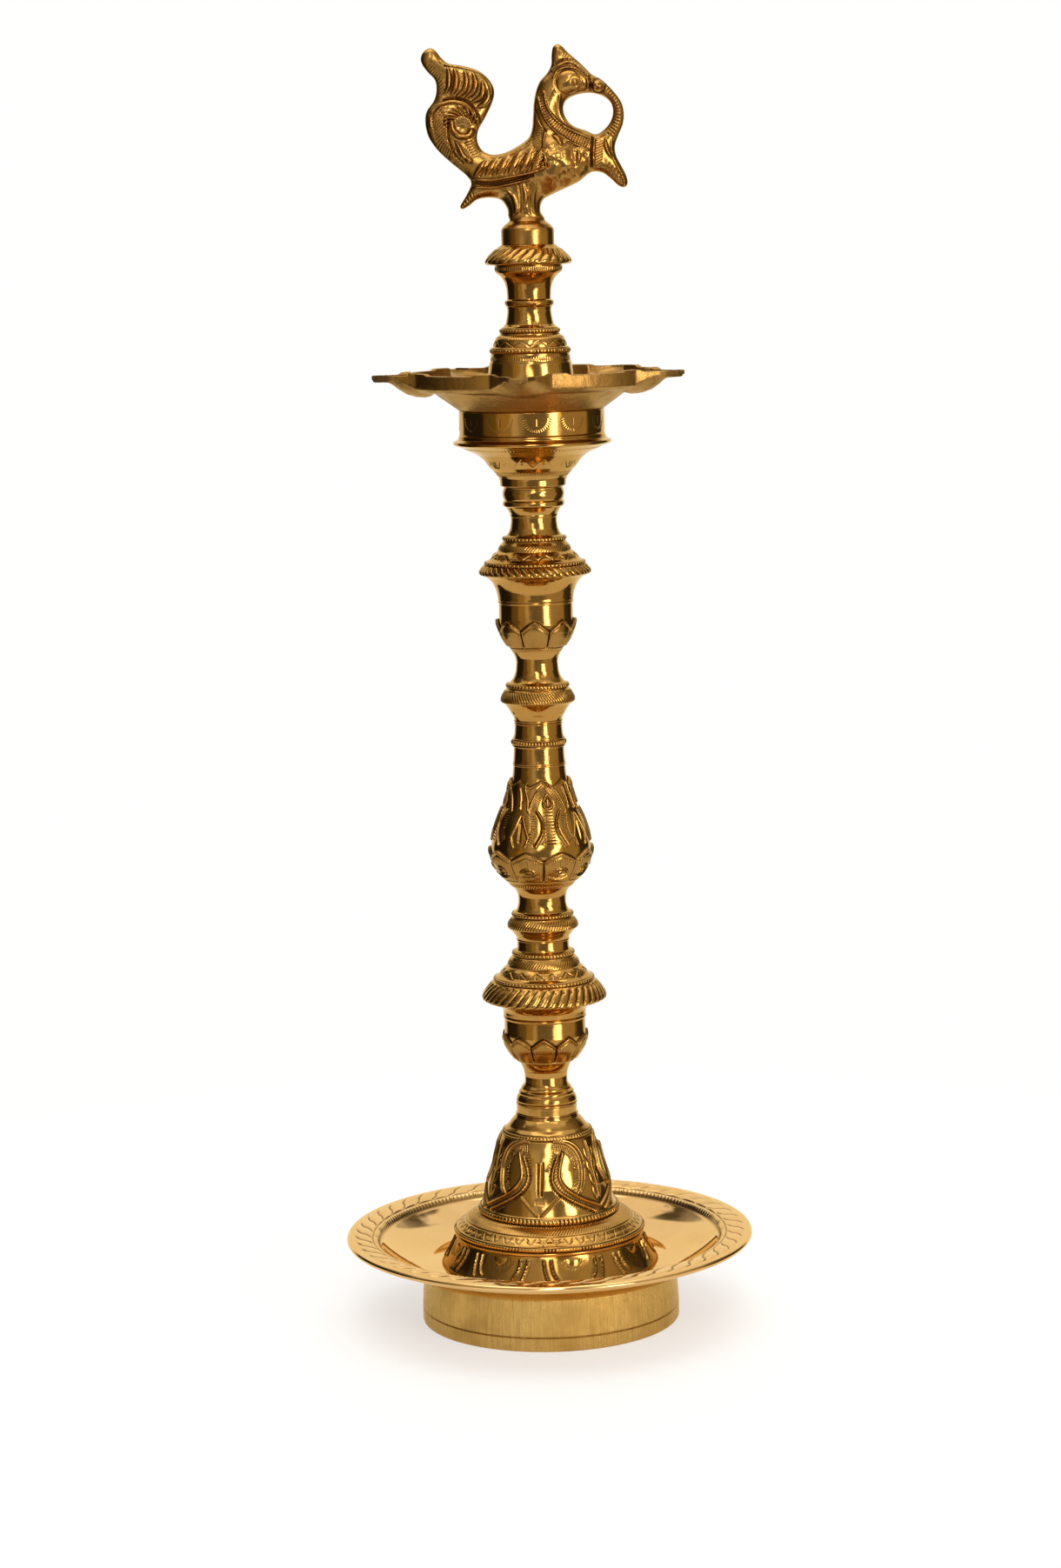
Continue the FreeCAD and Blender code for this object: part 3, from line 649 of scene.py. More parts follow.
def bulb_collar():
    body = Surface([(10.9, 388.4), (10.95, 390.6), (11.2, 391.2, 0.3, 0.12),
        (11.2, 392, 0.2, 0.12), (12.4, 394.3, -0.05), (13.2, 395.5), (14.2, 395.9, 0.1),
        (14.6, 397.2, 0.3), (14.2, 398.4, 0.25), (13.9, 398.8), (14.5, 400.6, 0.1),
        (14.6, 402.4, 0.1), (14, 404.4, 0.1), (14.2, 404.9, -0.1), (15.2, 405.4, -0.1),
        (15.6, 405.9, 0.2), (15.7, 408.4)], 400, 0.2)
    return body.build("bulb_collar")


def drip_cup():
    outer = [(15.9, 408.4), (16.1, 409.2), (17.4, 411.2, -0.05), (20.4, 414.3, -0.03),
        (23, 417.7, -0.02), (26.2, 420.4, -0.03), (31.2, 422.8, -0.02), (35.9, 424.9, -0.03),
        (37.1, 425.4, 0.15, 0.2), (37.4, 426.3, 0.3, 0.15), (36.9, 427, 0.3, 0.15),
        (35.6, 427.5, 0, 0.3), (34.9, 428.8, -0.2, 0.2), (31.6, 428.8), (28.6, 424.6, 0.1, 0.8),
        (16, 413.6, 0.12, 0.9), (9, 412.6, 0, 0.8), (9, 424, 0, 1.2)]
    body = Surface(outer, 480, 0.32)
    outside = body.s < body.at(426.0)
    for count, depth, low, high, soft in ((92, 0.3, 410.6, 412.6, 0.2),
            (120, 0.16, 423, 423.9, 0.15)):
        tick = teeth(body.th * count / TWO_PI, 0.6)
        body.h -= depth * tick * window(body.z, low, high, soft) * outside
    leaves = 14
    line = rounded(np.abs(body.z - 414.6 - 4.8 * np.abs(body.across(leaves))), 0.5)
    body.h -= 0.1 * line * outside * window(body.z, 414.5, 419.6, 0.2)
    dots = rounded(np.hypot(body.cell(leaves, 180 / leaves), body.z - 416.4), 0.8)
    body.h -= 0.16 * dots * outside
    return body.build("drip_cup")


# ---------------------------------------------------------------- bowl
def bowl_drum():
    body = Surface([(31.4, 428.8), (34.6, 428.8, 0, 0.4), (34.7, 429.4, 0.2, 0.2),
        (34.4, 430, 0.2, 0.2), (34.4, 440.8, 0, 0.22), (34, 441.6, 0.2, 0.2),
        (31.4, 441.6, 0, 0.4)], 900, 0.22)
    scallops = (12, 4)
    u, v = body.cell(*scallops), body.z - 438.6
    tick = teeth(np.arctan2(v, u) * 17 / math.pi, 0.5) * (v < 0) * (body.r > 34.2)
    body.h -= 0.15 * tick * window(np.hypot(u, v), 5.3, 6.6, 0.15)
    body.stroke(12, [(0, 435), (0, 438.2)], 0.3, -0.14, 4.0)
    body.ring(430.2, 0.25, -0.2)
    return body.build("bowl_drum", bore=None)


CUBE = [(a, b, c) for a in (0, 1) for b in (0, 1) for c in (0, 1)]     # corners of a unit cube


def lumps(points, size, seed):
    """Smooth random lumps between -1 and 1: a value-noise field with cells of that size."""
    table = np.random.default_rng(seed).uniform(-1, 1, (32, 32, 32))
    scaled = np.asarray(points) / size
    base = np.floor(scaled).astype(int)
    t = scaled - base
    t = t * t * (3 - 2 * t)
    total = 0
    for corner in CUBE:
        i, j, k = np.moveaxis((base + corner) % 32, -1, 0)
        total = total + table[i, j, k] * np.prod(np.where(corner, t, 1 - t), axis=-1)
    return total


SPOUTS = 5
SPOUT_TURN = math.radians(-4.5)     # the first spout points a little to the left of the front
RIM = 459.2                         # top of the bowl's rim
BOWL_R = 60.0
TIP_R = 75.6                        # reach of the spouts
FAR_ABOVE = 470.0                   # a height above every part of the bowl


def farthest(angle, half_width, start, tip):
    """Reach of a spout's plan at each angle from its axis: where the spout's side is met."""
    reach = np.full(angle.shape, start)
    for r in np.arange(start, tip + 0.001, 0.05):
        along, aside = r * np.cos(angle), r * np.abs(np.sin(angle))
        reach = np.where(aside < profile(along, half_width), r, reach)
    return reach


def oil_bowl():
    """Shallow cast bowl with five wick spouts, as one grid wrapped from its boss to its well."""
    sector = TWO_PI / SPOUTS
    dense = np.linspace(-sector / 2, sector / 2, 2001)
    density = 1 + 3.0 * np.exp(-((np.abs(dense)
        - 0.068) / 0.022) ** 2) + 0.8 * np.exp(-(dense / 0.22) ** 2)
    share = np.concatenate([[0], np.cumsum((density[1:] + density[:-1]) / 2)])
    per_sector = 168
    local = np.interp(np.arange(per_sector) / per_sector * share[-1], share, dense)
    angle = np.concatenate([FRONT + SPOUT_TURN + k * sector + local for k in range(SPOUTS)])
    local = np.tile(local, SPOUTS)
    # plan of the rim's outside and of the well's, where the spouts leave it
    outer = farthest(local, [(56, 16.5), (60, 12.8), (63.5, 9.6), (67, 6.8), (70, 5.5), (75, 4.6),
        (75.7, 4.2)], BOWL_R, TIP_R)
    inner = farthest(local, [(54, 11.6), (58, 10.4), (62, 7.8), (66, 5), (74.2, 3.1), (74.7, 2.6)],
        57.0, TIP_R - 1.2)
    inner = np.minimum(inner, outer - 1.1)
    off_axis = np.degrees(np.abs(local))
    top = RIM + 0.9 * window(off_axis, 11.0, 21.5, 1.5) - 0.5 * (1 - smoothstep(2.0, 2.6, off_axis))

    def trough(base, r, level, wide, depth, blend):
        """base, with a half-round spout along each axis blended into it."""
        along, aside = r * np.cos(local), np.abs(r * np.sin(local))
        offset = aside / profile(along, wide)
        spout = profile(along, level) + depth * (1 - round_bar(offset))
        return soft_min(base, np.where(offset < 1, spout, FAR_ABOVE), blend)

    def underside(r):
        bowl = profile(r, [(34.4, 441.6), (46.3, 450.3), (57.4, 451.4), (60, 453.2), (64, 460)])
        return trough(bowl, r, [(44, 453), (47.6, 450), (49.2, 448.9), (51.6, 448.5),
            (55.6, 448.9), (59.6, 450.2), (63.4, 452.6), (66.6, 455), (68.4, 455.9), (76, 456.1)],
            [(44, 13.44), (52, 17.36), (58, 15.904), (63, 11.424), (68, 6.944), (76, 5.264)], 8.0,
            0.8)

    def floor(r):
        well = profile(r, [(30, 444.6), (32, 445.4), (45.5, 453), (56.4, 454.6), (60, 463)])
        return trough(well, r, [(44, 453.2), (56, 453.9), (62, 455.2), (67, 456.6), (75, 457.7)],
            [(44, 13.65), (58, 11.13), (66, 5.46), (75, 3.465)], 4.0, 0.6)

    rows = []

    def row(radius, height):
        rows.append((radius + 0 * local, height + 0 * local))

    for radius, height in ((BORE_R, 424.6), (8.6, 424.6), (9, 425), (9, 433), (9, 441.2),
            (9.4, 441.6), (20, 441.6), (31, 441.6)):
        row(radius, height)
    for t in np.linspace(0, 1, 44):
        radius = 34.4 + (outer - 1.1 - 34.4) * t
        row(radius, underside(radius))
    low_edge = np.minimum(underside(outer - 0.2), RIM - 2.4)
    start = underside(outer - 1.1)
    for t in (0.35, 0.7, 1):
        swing = t * math.pi / 2
        row(outer - 1.1 + 1.1 * math.sin(swing), start + (low_edge + 0.5 - start)
            * (1 - math.cos(swing)))
    for t in np.linspace(0, 1, 9)[1:]:
        row(outer, low_edge + 0.5 + (top - 0.5 - low_edge - 0.5) * t)
    for t in (0.35, 0.7, 1):
        swing = t * math.pi / 2
        row(outer - 0.5 * (1 - math.cos(swing)), top - 0.5 + 0.5 * math.sin(swing))
    for t in (0.33, 0.66, 1):
        row(outer - 0.5 + (inner + 0.4 - outer + 0.5) * t, top)
    edge_floor = np.minimum(floor(inner - 0.3), top - 0.9)
    for t in (0.5, 1):
        swing = t * math.pi / 2
        row(inner + 0.4 * (1 - math.sin(swing)), top - 0.4 * (1 - math.cos(swing)))
    for t in np.linspace(0, 1, 6)[1:]:
        row(inner - 0.3 * t, top - 0.4 + (edge_floor - top + 0.4) * t)
    for t in np.linspace(0, 1, 34)[1:]:
        radius = inner - 0.3 + (30.0 - inner + 0.3) * t
        row(radius, np.minimum(floor(radius), top - 0.9))
    for radius in (24.0, 14.0, BORE_R):
        row(radius, 444.6)
    radius, height = (np.array(table) for table in zip(*rows))
    verts = np.stack([radius * np.cos(angle), radius * np.sin(angle), height], -1)
    # the casting's skin: shallow hollows and lumps, which fade out where other pieces seat
    skin = lumps(verts, 14.0, 3) * 0.07 + lumps(verts, 4.3, 4) * 0.07 + lumps(verts, 1.5, 5) * 0.05
    free = smoothstep(36.0, 40.0, radius)
    out = verts[..., :2] / np.maximum(radius, 1e-6)[..., None]
    upright = window(height, 452.5, 458.6, 0.6) * smoothstep(0.8, 0.2, np.abs(radius - outer))
    verts[..., :2] -= (np.abs(skin) * free * upright)[..., None] * out
    verts[..., 2] += skin * free * (1 - upright) * (height < RIM + 0.6)
    # darker where the surface dips below its neighbours; the spout soot below is real
    darkening = np.clip((blurred(height, 3) - height) / 0.8, 0, 1) * 0.4
    # soot on the spout tips, most on the left one
    burnt = np.repeat([0.35, 0.45, 0.35, 0.35, 1.0], per_sector)
    darkening = np.maximum(darkening, burnt * smoothstep(65.0, 72.0, radius))
    quads = grid_quads(len(rows), len(angle), close_rows=True)
    return mesh_object("oil_bowl", verts.reshape(-1, 3), quads, darkening.ravel())


# ---------------------------------------------------------------- finial
def finial_neck():
    body = Surface([(23.4, 444.6), (22.6, 448, -0.02), (20.4, 457, -0.02), (19.4, 463.2, -0.02),
        (18.9, 464.2), (18.7, 465.4, 0.2), (18.6, 467.6), (18.7, 470.2, 0.1), (17.5, 470.9, 0.1),
        (17, 473, 0.05), (15.6, 475.4, 0.12), (14.2, 476.4), (13.9, 477.4, 0.2),
        (13.8, 479.2, 0.2), (12.4, 480.2, 0.1), (11.5, 481.2), (10.8, 484, -0.06),
        (10.3, 487.8, -0.04), (10.6, 489.4), (11.3, 490.4, 0.2), (11.2, 492.2, 0.3), (10.3, 492.9),
        (10.4, 496.2, -0.02), (11.2, 500.4, -0.08), (12.8, 503.2, -0.04), (15, 505, -0.04),
        (15.7, 506, 0.1), (15.9, 508, 0.1), (15.8, 508.6)], 480, 0.26)
    body.beads(468.8, 66, 0.95, 0.42)
    body.beads(478.2, 52, 0.85, 0.4)
    body.zigzag(471.4, 473.6, 13, 0.36, 0.3)
    body.hatch(464.4, 466.2, 96, 0.0, 0.14)
    body.hatch(474.8, 475.9, 80, 0.0, 0.14)
    body.hatch(490.2, 491.9, 34, 20.0, 0.22)
    body.hatch(506.2, 507.9, 92, 0.0, 0.22)
    return body.build("finial_neck")


def finial_rope_collar():
    body = Surface([(15.8, 508.6), (19.6, 509.1, 0.05), (20.4, 510.2, 0.3), (19.9, 511.6, 0.15),
        (17.2, 514.6, 0.06), (15.2, 516.4, 0.03), (14.6, 516.8), (13.2, 518, -0.05)], 420, 0.24)
    body.rope(510.0, 516.2, 24, 15.0, 0.75)
    return body.build("finial_rope_collar", bore=BIRD_BORE_R)


# ---------------------------------------------------------------- threads
def threaded_rod(name, radius, low, high):
    """A rod with a right-hand V thread and chamfered ends."""
    body = Surface([(radius - 0.8, low), (radius, low + 0.8), (radius, high - 0.8),
        (radius - 0.8, high)], 48, 0.35)
    phase = (body.z / PITCH - (body.th + math.pi) / TWO_PI) % 1.0
    body.h = -0.62 * np.abs(2 * phase - 1) * window(body.z, low + 0.3, high - 0.3, 0.3)
    return body.build(name, bore=0)


# ---------------------------------------------------------------- bird
TAIL_BACK = [(-43.3, 609.5), (-46.6, 607.8), (-48, 604.6), (-47, 601.4), (-44.6, 598.2),
    (-41.6, 594.8), (-41, 590.4), (-42.2, 585.6), (-45.8, 580.6), (-46.6, 575.4), (-45.6, 569.8),
    (-43.4, 565.6), (-40.4, 561.8), (-36.4, 557.9), (-31.6, 553.8), (-27.8, 550.4), (-25.9, 546.8)]
RUMP = [(-28.4, 541.4), (-31.2, 536.8), (-30.2, 535.2), (-27.2, 536.6), (-22.8, 539.6),
    (-16.4, 540.2), (-11.9, 538.8), (-9.2, 534.8), (-7.4, 529.6)]
BREAST = [(7, 529.6), (5.8, 533.6), (7.6, 538.6), (11.6, 541), (19.2, 544.3), (24.6, 546.8),
    (28.4, 549.8), (31.4, 551.2)]
LAPPET = [(35.6, 550.6), (39.4, 547.9), (43, 544.5), (45.8, 543.7), (47.3, 545.6), (46.6, 549.4),
    (44.2, 554.2), (42.1, 558.6), (41.7, 563), (43.4, 567.8), (45.5, 572.6), (46.1, 577.8),
    (45.1, 582.6), (42.4, 586.8)]
HEAD = [(39.2, 590.4), (35.8, 593.5), (31.6, 595.8), (28.4, 599), (24.4, 602.8), (20.4, 606.3),
    (17.6, 609.3), (15.6, 610), (13.6, 608.6), (12.9, 604.8), (12.6, 600.4)]
BACK = [(10.4, 596.6), (7.2, 593.2), (5.3, 588.8), (4.1, 583), (3.6, 576.8), (3, 571.2),
    (0.8, 566.8), (-5.8, 562.6), (-11.2, 560.5), (-16.4, 560.2), (-20.4, 562.3), (-22.5, 566.8)]
TAIL_FRONT = [(-21.8, 571.6), (-18.9, 576.5), (-15.9, 582.2), (-14.2, 587), (-14.4, 591),
    (-16.9, 595.2), (-21.6, 598.9), (-28.6, 601.1), (-35, 602.3), (-38.4, 605), (-40.6, 607.9)]
LOOP_HOLE = [(18, 581), (19.8, 584.6), (24.4, 586.7), (30, 587.4), (35.6, 586.2), (39.6, 583.3),
    (41, 579.2), (40, 574.6), (37, 570.8), (32.9, 568.4), (28, 570.3), (22.4, 572.5), (19, 576.3)]
# half thickness and edge roundness of the body at places (x, z)
BULK = [(12, 557, 12.4, 15), (20, 553, 10.5, 12), (2, 556, 11.6, 13), (-8, 552, 9.6, 10),
    (-18, 552, 6.6, 8), (-26, 556, 4.8, 6.5), (-24, 545, 4.4, 4), (-30, 537, 2.4, 2.4),
    (-38, 570, 4.4, 6), (-28, 575, 4.2, 4.5), (-28, 590, 3.6, 4.2), (-44, 604, 3.6, 4.4),
    (-18, 588, 3.2, 3.6), (-32, 600, 3, 3), (0, 534, 7.6, 7.5), (0, 541, 8.6, 9),
    (10, 575, 7.6, 8), (12, 588, 7, 8), (22, 593, 7.2, 7.4), (33, 591.5, 4.6, 4.4),
    (17, 604, 2.8, 3.2), (43, 578, 3.4, 3), (38, 568, 3.6, 3.4), (29, 560, 8, 8),
    (37, 557, 3.8, 4.2), (45, 546, 2.6, 2.6), (26, 570, 5, 4)]


def inside(x, z, loop):
    """Whether each point is inside a closed curve."""
    crossed = np.zeros(x.shape, bool)
    for (ax, az), (bx, bz) in zip(loop, np.roll(loop, -1, axis=0)):
        spans = (az > z) != (bz > z)
        crossed ^= spans & (x < (bx - ax) * (z - az) / (bz - az + 1e-12) + ax)
    return crossed


def signed_depth(x, z, corners):
    """Distance inside a closed curve, negative outside it."""
    loop = ring_path(corners)
    closed = np.vstack([loop, loop[:1]])
    depth = path_distance(x, z, closed, 40.0)
    return np.where(inside(x, z, loop), depth, -depth)


class Relief:
    """Relief on the two flat sides of the bird, drawn in (x, z)."""

    def __init__(self, x, z):
        self.x, self.z = x, z
        self.h = np.zeros(x.shape)

    def along(self, corners, reach):
        """Distance from a curve, length along it, its total length, and which side."""
        return nearest(self.x, self.z, smooth_path(corners, 6), reach)

    def rib(self, corners, width, rise):
        distance = self.along(corners, width * 1.2)[0]
        self.h = np.maximum(self.h, rise * rounded(distance, width) + np.minimum(self.h, 0))

    def feather(self, corners, width, rise):
        """A raised stroke that tapers at both ends."""
        distance, place, run, _ = self.along(corners, width * 1.2)
        taper = np.sqrt(np.clip(np.sin(np.pi * np.clip(place / run, 0.02, 0.98)), 0.05, 1))
        line = rounded(distance, width * taper)
        self.h = np.where(line > 0, np.maximum(self.h, rise * taper * line), self.h)

    def cut(self, corners, width, depth):
        distance = self.along(corners, width * 1.2)[0]
        self.h -= depth * rounded(distance, width)

    def ladder(self, corners, half_width, pitch, depth, lean=0.0):
        """Short cuts across a curve."""
        distance, place, run, side = self.along(corners, half_width * 1.2)
        rung = teeth((place + lean * distance * side) / pitch, 0.6)
        keep = (1 - smoothstep(half_width - 0.4, half_width,
            distance)) * (place > 0.01) * (place < run - 0.01)
        self.h -= depth * rung * keep


def bird_relief(x, z):
    """Feathers, scroll, collar, lumpy breast, eye and ticks of the chased bird."""
    r = Relief(x, z)
    # breast: blobs and pits left by the chasing tool
    flat = np.stack([x, 0 * x, z], -1)
    blobs = lumps(flat, 4.4, 21) + 0.55 * lumps(flat, 2.3, 22)
    on_breast = smoothstep(1.0, 0.75, np.hypot((x - 18.5) / 12.5, (z - 555.0) / 13.0))
    r.h += on_breast * (1.0 * blobs - 0.3 * smoothstep(0.16, 0.02, np.abs(blobs)))
    # upper tail: six bright flutes that bend at the foot, under a thick rim
    for flute in ([(-37.2, 588.3), (-35.3, 591.4), (-34.8, 596.6), (-35.6, 600.6)],
            [(-34.6, 587.4), (-32.2, 590.6), (-31.3, 595.6), (-32.5, 599.9)],
            [(-32.4, 586.4), (-28, 589.6), (-26.7, 594.4), (-27.7, 599.3)],
            [(-28, 586), (-23.8, 588.8), (-22.5, 593.2), (-24, 598.2)], [(-25, 584.2),
            (-20.6, 586.2), (-19.1, 589.8), (-19.6, 594)], [(-22.4, 581.7), (-18.9, 583.2),
            (-16.6, 586), (-16.8, 589.6)]):
        r.feather(flute, 1.5, 2.1)
    r.rib([(-38.4, 603), (-35.6, 601.9), (-29.8, 601), (-23.3, 599.4), (-19.3, 597.6),
        (-16.4, 594.5), (-15, 591.4), (-15, 587.6)], 0.9, 1.2)
    r.cut([(-37.2, 601.2), (-29.6, 599.9), (-23.2, 598.1), (-19.2, 596), (-17.2, 593.2),
        (-16.2, 590)], 0.45, 0.6)
    r.ladder([(-44.6, 602), (-43.2, 597.5), (-41, 593.4), (-39.6, 587.6)], 3.0, 1.35, 0.55, 0.4)
    # lower tail: a thick ring, swirling barbs inside it, and the lip of the scroll
    ring = [(-43.4, 580.4), (-41.6, 582.4), (-38.9, 583.7), (-35, 584.7), (-31.4, 584.6),
        (-27.3, 583.2), (-24.6, 580.2), (-22.4, 576.3), (-21.3, 573.6)]
    r.rib(ring, 1.15, 1.6)
    r.cut([(x0 + 0.9, z0 + 1.6) for x0, z0 in ring[2:]], 0.5, 0.7)
    distance = np.hypot(x + 29.6, z - 573.0)
    turn = np.arctan2(z - 573.0, x + 29.6) - distance * 0.13
    fan = 0.5 + 0.5 * np.cos(turn * 22)
    r.h += (0.35 - 0.95 * fan) * window(distance, 4.7, 9.4, 0.4) * smoothstep(573.0, 574.2,
        z) * (x > -38.4)
    r.h -= 0.9 * np.clip(1 - ((x + 29.3) / 3.6) ** 2 - ((z - 572.4) / 2.4) ** 2, 0, 1)
    r.rib([(-34.2, 575.2), (-33.8, 572.2), (-32.2, 569.8), (-29.6, 568.6), (-26.6, 569),
        (-24.9, 571)], 1.5, 2.0)
    r.cut([(-35.6, 577.4), (-35.9, 571.6), (-35.2, 565.8), (-33, 560.4), (-29.4, 556.6)], 0.55, 0.9)
    r.feather([(-32.9, 567), (-31, 563.8), (-29.4, 560.2), (-26.2, 557.6)], 1.35, 1.9)
    r.feather([(-28.4, 558.6), (-26.4, 557.6), (-24.8, 556.6)], 1.5, 2.0)
    r.ladder([(-42.4, 582), (-40.6, 577), (-39.4, 571), (-38.2, 565.4), (-34.6, 560.2)], 3.4, 1.35,
        0.75, 0.55)
    r.feather([(-43.9, 578.4), (-44.2, 575.4), (-43.8, 572.6)], 0.8, 0.9)
    r.ladder([(-27, 566.6), (-24.6, 563), (-22, 559.4)], 2.4, 1.3, 0.65, -0.3)
    r.rib([(-22.8, 569.6), (-22.8, 566.6), (-21.4, 563.6), (-19, 561.6)], 0.9, 1.2)
    # wing: overlapping feathers with deep gaps, and two bands under them
    for k in range(6):
        foot = (-24.4 + 5.4 * k, 550.0 + 0.35 * k)
        tip = (foot[0] + 5.6, foot[1] + 7.4 + 0.75 * k)
        bend = (foot[0] + 2.3, foot[1] + 3.0 + 0.3 * k)
        r.feather([foot, bend, tip], 1.35 + 0.12 * k, 1.5)
        r.cut([(foot[0] + 2.7, foot[1] + 0.2), (bend[0] + 2.6, bend[1] + 0.2),
            (tip[0] + 2.4, tip[1] - 0.8)], 0.5, 0.45)
    r.ladder([(8.2, 571.6), (5.8, 567.6), (5.4, 562.6), (6.2, 557.4), (6, 553.6)], 2.7, 1.15, 0.75,
        0.7)
    r.rib([(9.8, 571), (8.3, 566), (8.5, 559.6), (9.2, 553)], 0.7, 1.1)
    r.rib([(-25.6, 549), (-17, 548.2), (-7, 549.4), (4, 551.6), (9, 553.6)], 0.75, 1.4)
    r.cut([(-26, 547.3), (-16, 546.5), (-6, 547.7), (3, 549.8)], 0.8, 1.0)
    r.rib([(-25.4, 545.4), (-17, 544.8), (-8, 546), (1, 548)], 0.7, 1.1)
    r.ladder([(-30.6, 536.4), (-27, 539.4), (-23.6, 541.6)], 1.9, 1.7, 0.8)
    # throat, laddered mane and the ribs beside it
    r.rib([(16.4, 586), (15.9, 581), (17.2, 576.4), (20.4, 573.2), (25.4, 570.6), (29.4, 568.2),
        (33.2, 567.2), (37.4, 568.8)], 0.9, 1.0)
    r.rib([(8.8, 588), (10.4, 580.9), (14.3, 575.4), (20.3, 570.8), (26.3, 568.2), (30.4, 566.4)],
        0.65, 1.2)
    r.rib([(5.8, 586.6), (8, 578.6), (11.4, 572.6), (16.4, 568), (22.2, 564.4), (28.9, 561.2)],
        0.65, 1.2)
    r.ladder([(7.3, 587), (9.2, 579.8), (12.8, 574), (18.2, 569.6), (24.2, 566.3), (29.6, 563.8)],
        2.0, 1.25, 0.75)
    r.cut([(5, 579.8), (6.8, 574.4), (9.4, 570.2)], 0.5, 0.7)
    r.feather([(12.6, 568.4), (15.2, 566.6), (16.6, 563.6)], 1.7, 1.5)
    r.feather([(24, 562.6), (24.9, 558.6), (24, 554.2)], 1.3, 1.3)
    # loop and lappet
    r.ladder([(39, 589.6), (41.8, 585.8), (43.4, 580.6), (43.4, 575.4), (41.9, 571),
        (39.6, 567.6)], 2.6, 1.45, 0.75)
    r.cut([(31.2, 567.4), (30.4, 561), (30.4, 553.4)], 0.6, 1.0)
    r.rib([(32.1, 566), (31.6, 560.4), (31.6, 554)], 0.6, 0.9)
    r.ladder([(34.4, 565.4), (33.8, 559.6), (33.6, 553)], 1.9, 1.3, 0.6, 0.5)
    r.feather([(37, 566.8), (37.5, 562.4), (39.2, 558.8), (41, 556.4)], 1.1, 1.4)
    r.feather([(40.2, 566.4), (40.2, 562), (41.2, 558.4)], 0.9, 1.1)
    r.rib([(46, 545.6), (44.6, 549.6), (42.2, 554.2), (40.6, 557.8)], 0.7, 0.9)
    for k in range(6):
        r.cut([(36.4 + 1.7 * k, 551.6 - 1.0 * k), (38.8 + 1.3 * k, 555.0 - 1.4 * k)], 0.4, 0.4)
    # head: domed eye disc with a rim, the eye, the cere, the bead of the beak and the crest
    disc = np.hypot(x - 20.4, z - 592.4)
    r.h += 1.3 * np.clip(1 - (disc / 5.6) ** 2, 0, 1) - 0.35 * rounded(np.abs(disc - 6.0), 0.8)
    eye = np.hypot(x - 23.6, z - 592.2)
    r.h += 0.4 * rounded(eye, 0.9) - 0.6 * rounded(np.abs(eye - 1.5), 0.5)
    r.rib([(29, 588.8), (29.6, 591.4), (29.2, 594)], 0.8, 1.5)
    r.cut([(30.8, 588.4), (31, 591.4), (30.6, 594.2)], 0.6, 0.8)
    bead = np.hypot(x - 34.6, z - 590.6)
    r.h += 1.9 * np.sqrt(np.clip(1 - (bead / 2.9) ** 2, 0, 1)) * (1 + 0.4 * lumps(flat, 1.4,
        23)) - 0.8 * rounded(np.abs(bead - 3.3), 0.7)
    r.rib([(13.2, 598), (15, 599.6), (19.1, 601.5), (23.1, 601.2), (27, 598.4), (29.6, 595.6)],
        0.85, 1.3)
    r.rib([(13.6, 594.6), (15, 597.2), (18.5, 599), (23.1, 598.9), (26.6, 596.8), (28.2, 594.6)],
        0.6, 1.0)
    r.cut([(14.4, 601), (18.8, 602.9), (23.4, 602.6), (27.4, 599.8)], 0.5, 0.6)
    r.ladder([(18.6, 606), (22, 602.8), (25.6, 599.9)], 1.7, 1.25, 0.6)
    # legs
    for flute in ([(-9.4, 543.4), (-6.4, 540.4), (-5.2, 536), (-5.4, 531.6)],
            [(-1.8, 546.4), (-0.6, 541), (-0.8, 535.6)], [(4.8, 546), (3.2, 541.4), (3, 536.6),
            (3.8, 532.6)]):
        r.feather(flute, 1.2, 0.9)
    r.cut([(-3.6, 546), (-3, 540), (-3.2, 533)], 0.6, 0.5)
    r.cut([(1.4, 546), (1.2, 540), (1.2, 533)], 0.6, 0.5)
    return r.h


